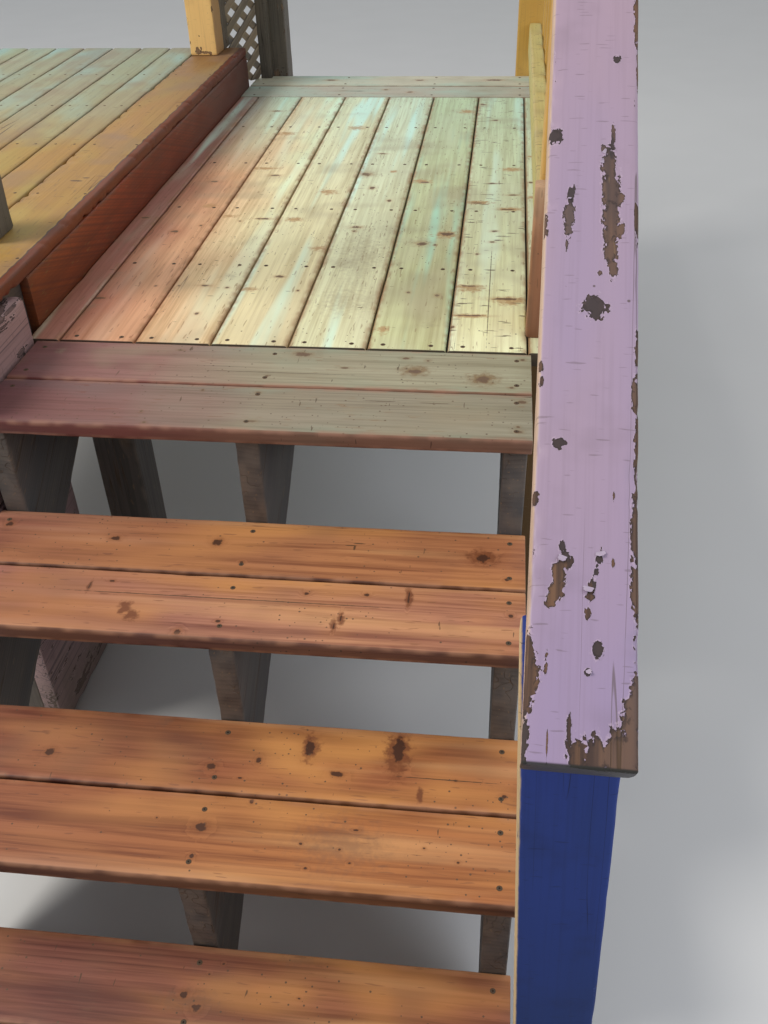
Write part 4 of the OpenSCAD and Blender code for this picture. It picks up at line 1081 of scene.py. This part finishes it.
# the lattice runs on the line between the middles of its two battens, and stops short of each
lattice = {
    "strip": 0.022,
    "space": 0.022,
    "thick": 0.008,
    "letIn": 0.001,
    "stops": (0.02, 0.008),
    "shortest": 0.012,
    "battenWide": 0.038,
    "battenDeep": 0.078,
    "high": 0.9,
    "wood": {
        "light": (0.23, 0.18, 0.125), "dark": (0.085, 0.068, 0.055), "weatherAndSunBlotch": (0.13, 0.135, 0.14),
        "grey": 0.8, "edge": (0.4, 0.34, 0.24), "edged": 0.5, "knotChance": 0.0}}
latticeWood = bareWood("latticeWood", lattice["wood"])
cornerHigh = np.array(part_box("porch_corner_post")[1])
leftLow = np.array(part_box("far_left_post")[0])
half = lattice["battenWide"] / 2
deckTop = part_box("landing_board_1")[1].z
first = np.array([cornerHigh[0] - half, cornerHigh[1] + lattice["battenDeep"] / 2, deckTop])
last = np.array([leftLow[0] + half, leftLow[1] - half, deckTop])
panelWay = (last - first) / np.linalg.norm(last - first)
panelOut = np.array([-panelWay[1], panelWay[0], 0])
panelStart = first + lattice["stops"][0] * panelWay
panelEnd = last - lattice["stops"][1] * panelWay
panelTop = panelStart + lattice["high"] * zAxis
cuts = [(panelStart, -panelWay), (panelEnd, panelWay), (panelStart, -zAxis), (panelTop, zAxis)]
panelLong = np.linalg.norm(panelEnd - panelStart)
pitch = (lattice["strip"] + lattice["space"]) * math.sqrt(2)
parts = []
for side in (1, -1):
    stripWay = (side * panelWay + zAxis) / math.sqrt(2)
    stripAcross = (panelWay - side * zAxis) / math.sqrt(2)
    out = 0 if side > 0 else lattice["thick"] - lattice["letIn"]
    for k, s in enumerate(np.arange(-lattice["high"], panelLong + lattice["high"], pitch)):
        near, far = sorted([-s * side, (panelLong - s) * side])
        near, far = max(near, 0), min(far, lattice["high"])
        if far - near > lattice["shortest"]:
            name = "strip%d_%d" % (side, k)
            origin = panelStart + s * panelWay - lattice["strip"] / 2 * stripAcross + out * panelOut
            look = {"ease": 0.001, "endEase": 0.0005, "wear": 0.0006, "spacing": 0.02, "step": 0.02,
                    "tint": (seeded(name).uniform(0.6, 1.4),) * 3}
            size = (lattice["strip"], lattice["thick"])
            parts.append(member(name, origin, stripWay, stripAcross, panelOut, size, cuts, look))
dress("corner_lattice", parts, latticeWood)
parts = [boxMember("batten%d" % k, box, "z", "y", {**post, "ease": 0.002})
         for k, box in enumerate(solidBoxes("lattice_battens"))]
dress("lattice_battens", parts, timber["weathered"])
print("rails, posts, porch and lattice made")


# Turned heads: a profile (radius, height) spun round each centre, closed by its two end rings.
# Tone is 0 in the recess, 0.5 on the head and 1 on the crushed ring of wood about it.
def turnedHeads(name, centres, look, material):
    rng = seeded(name)
    centres = np.asarray(centres, float)
    profile = np.array(look["profile"])
    sides = look["sides"]
    angle = np.linspace(0, 2 * np.pi, sides, endpoint=False)[None] + rng.uniform(0, 6, (len(centres), 1))
    ring = np.stack([np.cos(angle), np.sin(angle), 0 * angle], -1)[:, None] * profile[None, :, 0, None, None]
    ring = ring * rng.uniform(0.92, 1.05, (len(centres), 1, 1, 1)) + profile[None, :, 1, None, None] * zAxis
    co = (centres[:, None, None] + ring).reshape(-1, 3)
    corners, counts = tubeFaces(len(profile), sides, True)
    each = len(profile) * sides
    mesh = {"co": co, "corners": (corners[None] + np.arange(len(centres))[:, None] * each).ravel(),
            "counts": np.tile(counts, len(centres)),
            "edge": np.tile(np.repeat(profile[:, 2], sides), len(centres))}
    piece = surface(name, [mesh], material, 30)


# deck screws: profile rows are (radius, height, tone). fromEdge is how far in from a board's edge
# they sit, rimHalf half a rim's thickness, and farEnds the x of the side rims under the far boards.
screws = {
    "profile": [
        (0.001, 0.0002, 0), (0.0013, 0.0002, 0), (0.0017, 0.0006, 0.5), (0.0031, 0.0006, 0.5),
        (0.0036, 0.0003, 0.45), (0.0044, 0.0002, 1.0), (0.0047, -0.001, 1.0)],
    "sides": 10,
    "fromEdge": 0.027,
    "rimHalf": 0.019,
    "farEnds": (0.001, 0.866),
    "steel": (0.085, 0.062, 0.042),
    "recess": (0.012, 0.009, 0.007),
    "ring": (0.15, 0.08, 0.04)}


def headMaterial(name, look):
    material, tree = startMaterial(name)
    tone = attribute(tree, "edge")
    rust = noise(objectPlace(tree), 420, 3)
    colour = blend(ramp(tone, 0.0, 0.45), look["recess"], look["steel"])
    colour = blend(ramp(tone, 0.6, 0.95), colour, look["ring"])
    colour = blend(ramp(rust, 0.45, 0.7, 0, 0.6), colour, (0.10, 0.045, 0.02))
    finishMaterial(tree, colour, ramp(tone, 0.5, 1.0, 0.6, 0.85), rust, 0.0002, 0.15)
    return material


# Two screws in each board wherever it crosses what carries it, clear of its ends.
def crossings(boxes, alongAxis, bearings, inset, clear=0.004):
    across = 1 - alongAxis
    found = []
    for low, high in boxes:
        for at in bearings:
            if low[alongAxis] + clear < at < high[alongAxis] - clear:
                for b in (low[across] + inset, high[across] - inset):
                    spot = np.array([0.0, 0.0, high[2]])
                    spot[alongAxis], spot[across] = at, b
                    found.append(spot)
    return found


steel = headMaterial("screwSteel", screws)
stringerAt = [(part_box(n)[0].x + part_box(n)[1].x) / 2 for n in stringers]
joistAt = [(low[1] + high[1]) / 2 for low, high in longJoists]
shortAt = sorted({round((low[0] + high[0]) / 2, 4) for low, high in shortJoists})
treadBoxes = [box for k in (1, 2, 3) for box in solidBoxes("tread_%d" % k)]
treadSpots = crossings(treadBoxes, 0, stringerAt, screws["fromEdge"])
turnedHeads("tread_screws", treadSpots, screws, steel)
lengthwise = [b for n in landing if n.startswith("landing_board") for b in solidBoxes(n)]
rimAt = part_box("landing_end_rims")[0].y + screws["rimHalf"]
landingSpots = crossings(lengthwise, 1, [*joistAt, rimAt], screws["fromEdge"])
landingSpots += crossings(solidBoxes("landing_front_boards"), 0, stringerAt, screws["fromEdge"])
farAt = [screws["farEnds"][0], *shortAt, screws["farEnds"][1]]
landingSpots += crossings(solidBoxes("landing_far_boards"), 0, farAt, screws["fromEdge"])
turnedHeads("landing_screws", landingSpots, screws, steel)
porchAt = [(low[1] + high[1]) / 2 for low, high in solidBoxes("porch_joists")]
porchBoxes = solidBoxes("porch_boards") + solidBoxes("porch_edge_board")
nails = {
    **screws,
    "profile": [
        (0.0005, 0.0005, 0.5), (0.0022, 0.0004, 0.5), (0.0027, 0.0002, 0.3), (0.0036, 0.0002, 1.0),
        (0.0039, -0.001, 1.0)],
    "ring": (0.22, 0.13, 0.07), "fromEdge": 0.024}
nailSpots = crossings(porchBoxes, 1, porchAt, nails["fromEdge"])
turnedHeads("porch_nails", nailSpots, nails, headMaterial("nailSteel", nails))
print("screws and nails made,", len(treadSpots) + len(landingSpots), "screws")

# stage: a pale floor, soft light, and the camera at the photograph's place and angle
studio = {"floorHalf": 40, "floorDrop": 0.0005, "soft": 0.5, "shown": 0.9, "aim": (0.2, 0, 0.6),
          "key": (-3.6, -1.4, 4.6), "keyPower": 250, "fill": (4.0, -2.0, 3.0), "fillPower": 60}
floorMaterial, tree = startMaterial("studioFloor")
tone = blend(noise(objectPlace(tree), 3, 1), (0.67, 0.67, 0.66), (0.70, 0.70, 0.69))
inputs = {"Base Color": tone, "Roughness": 0.9, "Specular IOR Level": 0.1}
node(tree, "ShaderNodeOutputMaterial", {"Surface": node(tree, "ShaderNodeBsdfPrincipled", inputs)})
floorMesh = bpy.data.meshes.new("studioFloor")
wide = studio["floorHalf"]
corners = [(-wide, -wide, 0), (wide, -wide, 0), (wide, wide, 0), (-wide, wide, 0)]
floorMesh.from_pydata(corners, [], [(0, 1, 2, 3)])
floorMesh.materials.append(floorMaterial)
floor = bpy.data.objects.new("studioFloor", floorMesh)
floor.location.z = cadBox[0].z - studio["floorDrop"]
bpy.context.scene.collection.objects.link(floor)

world = bpy.data.worlds.new("studio")
bpy.context.scene.world = world
world.use_nodes = True
tree = world.node_tree
tree.nodes.clear()
seen = rays = node(tree, "ShaderNodeLightPath", {}, "Is Camera Ray")
for ray in ("Is Glossy Ray", "Is Transmission Ray"):
    seen = seen.math("MAXIMUM", rays.output(ray))
soft = node(tree, "ShaderNodeBackground", {"Color": (0.93, 0.96, 1.0), "Strength": studio["soft"]})
shown = node(tree, "ShaderNodeBackground", {"Color": (studio["shown"],) * 3, "Strength": 1.0})
both = node(tree, "ShaderNodeMixShader", {0: seen, 1: soft, 2: shown})
node(tree, "ShaderNodeOutputWorld", {"Surface": both})


def lamp(name, place, target, size, power, colour):
    data = bpy.data.lights.new(name, "AREA")
    data.shape, data.size, data.energy, data.color = "DISK", size, power, colour
    made = bpy.data.objects.new(name, data)
    made.location = place
    made.rotation_euler = (Vector(target) - Vector(place)).to_track_quat("-Z", "Y").to_euler()
    bpy.context.scene.collection.objects.link(made)


lamp("key", studio["key"], studio["aim"], 2.2, studio["keyPower"], (1.0, 0.96, 0.90))
lamp("fill", studio["fill"], studio["aim"], 3.0, studio["fillPower"], (0.86, 0.90, 1.0))

view = {
    "place": (0.81755, -2.0488, 1.5607), "pitch": 36.83, "yaw": -7.42, "roll": -1.79, "focal": 971.2,
    "long": 1024, "sensor": 36}
pitchDown, yaw, roll = (math.radians(view[k]) for k in ("pitch", "yaw", "roll"))
outward = math.cos(pitchDown)
ahead = Vector((math.sin(yaw) * outward, math.cos(yaw) * outward, -math.sin(pitchDown)))
level = Vector((math.cos(yaw), -math.sin(yaw), 0))
over = level.cross(ahead)
right = math.cos(roll) * level + math.sin(roll) * over
top = -math.sin(roll) * level + math.cos(roll) * over
camera = bpy.data.objects.new("camera", bpy.data.cameras.new("camera"))
camera.data.sensor_width = view["sensor"]
camera.data.lens = view["focal"] * view["sensor"] / view["long"]
camera.data.clip_start, camera.data.clip_end = 0.05, 200
camera.matrix_world = Matrix.Translation(view["place"]) @ Matrix((right, top, -ahead)).transposed().to_4x4()
bpy.context.scene.collection.objects.link(camera)
bpy.context.scene.camera = camera
bpy.context.scene.view_settings.view_transform = "Standard"
print("camera and lights set")
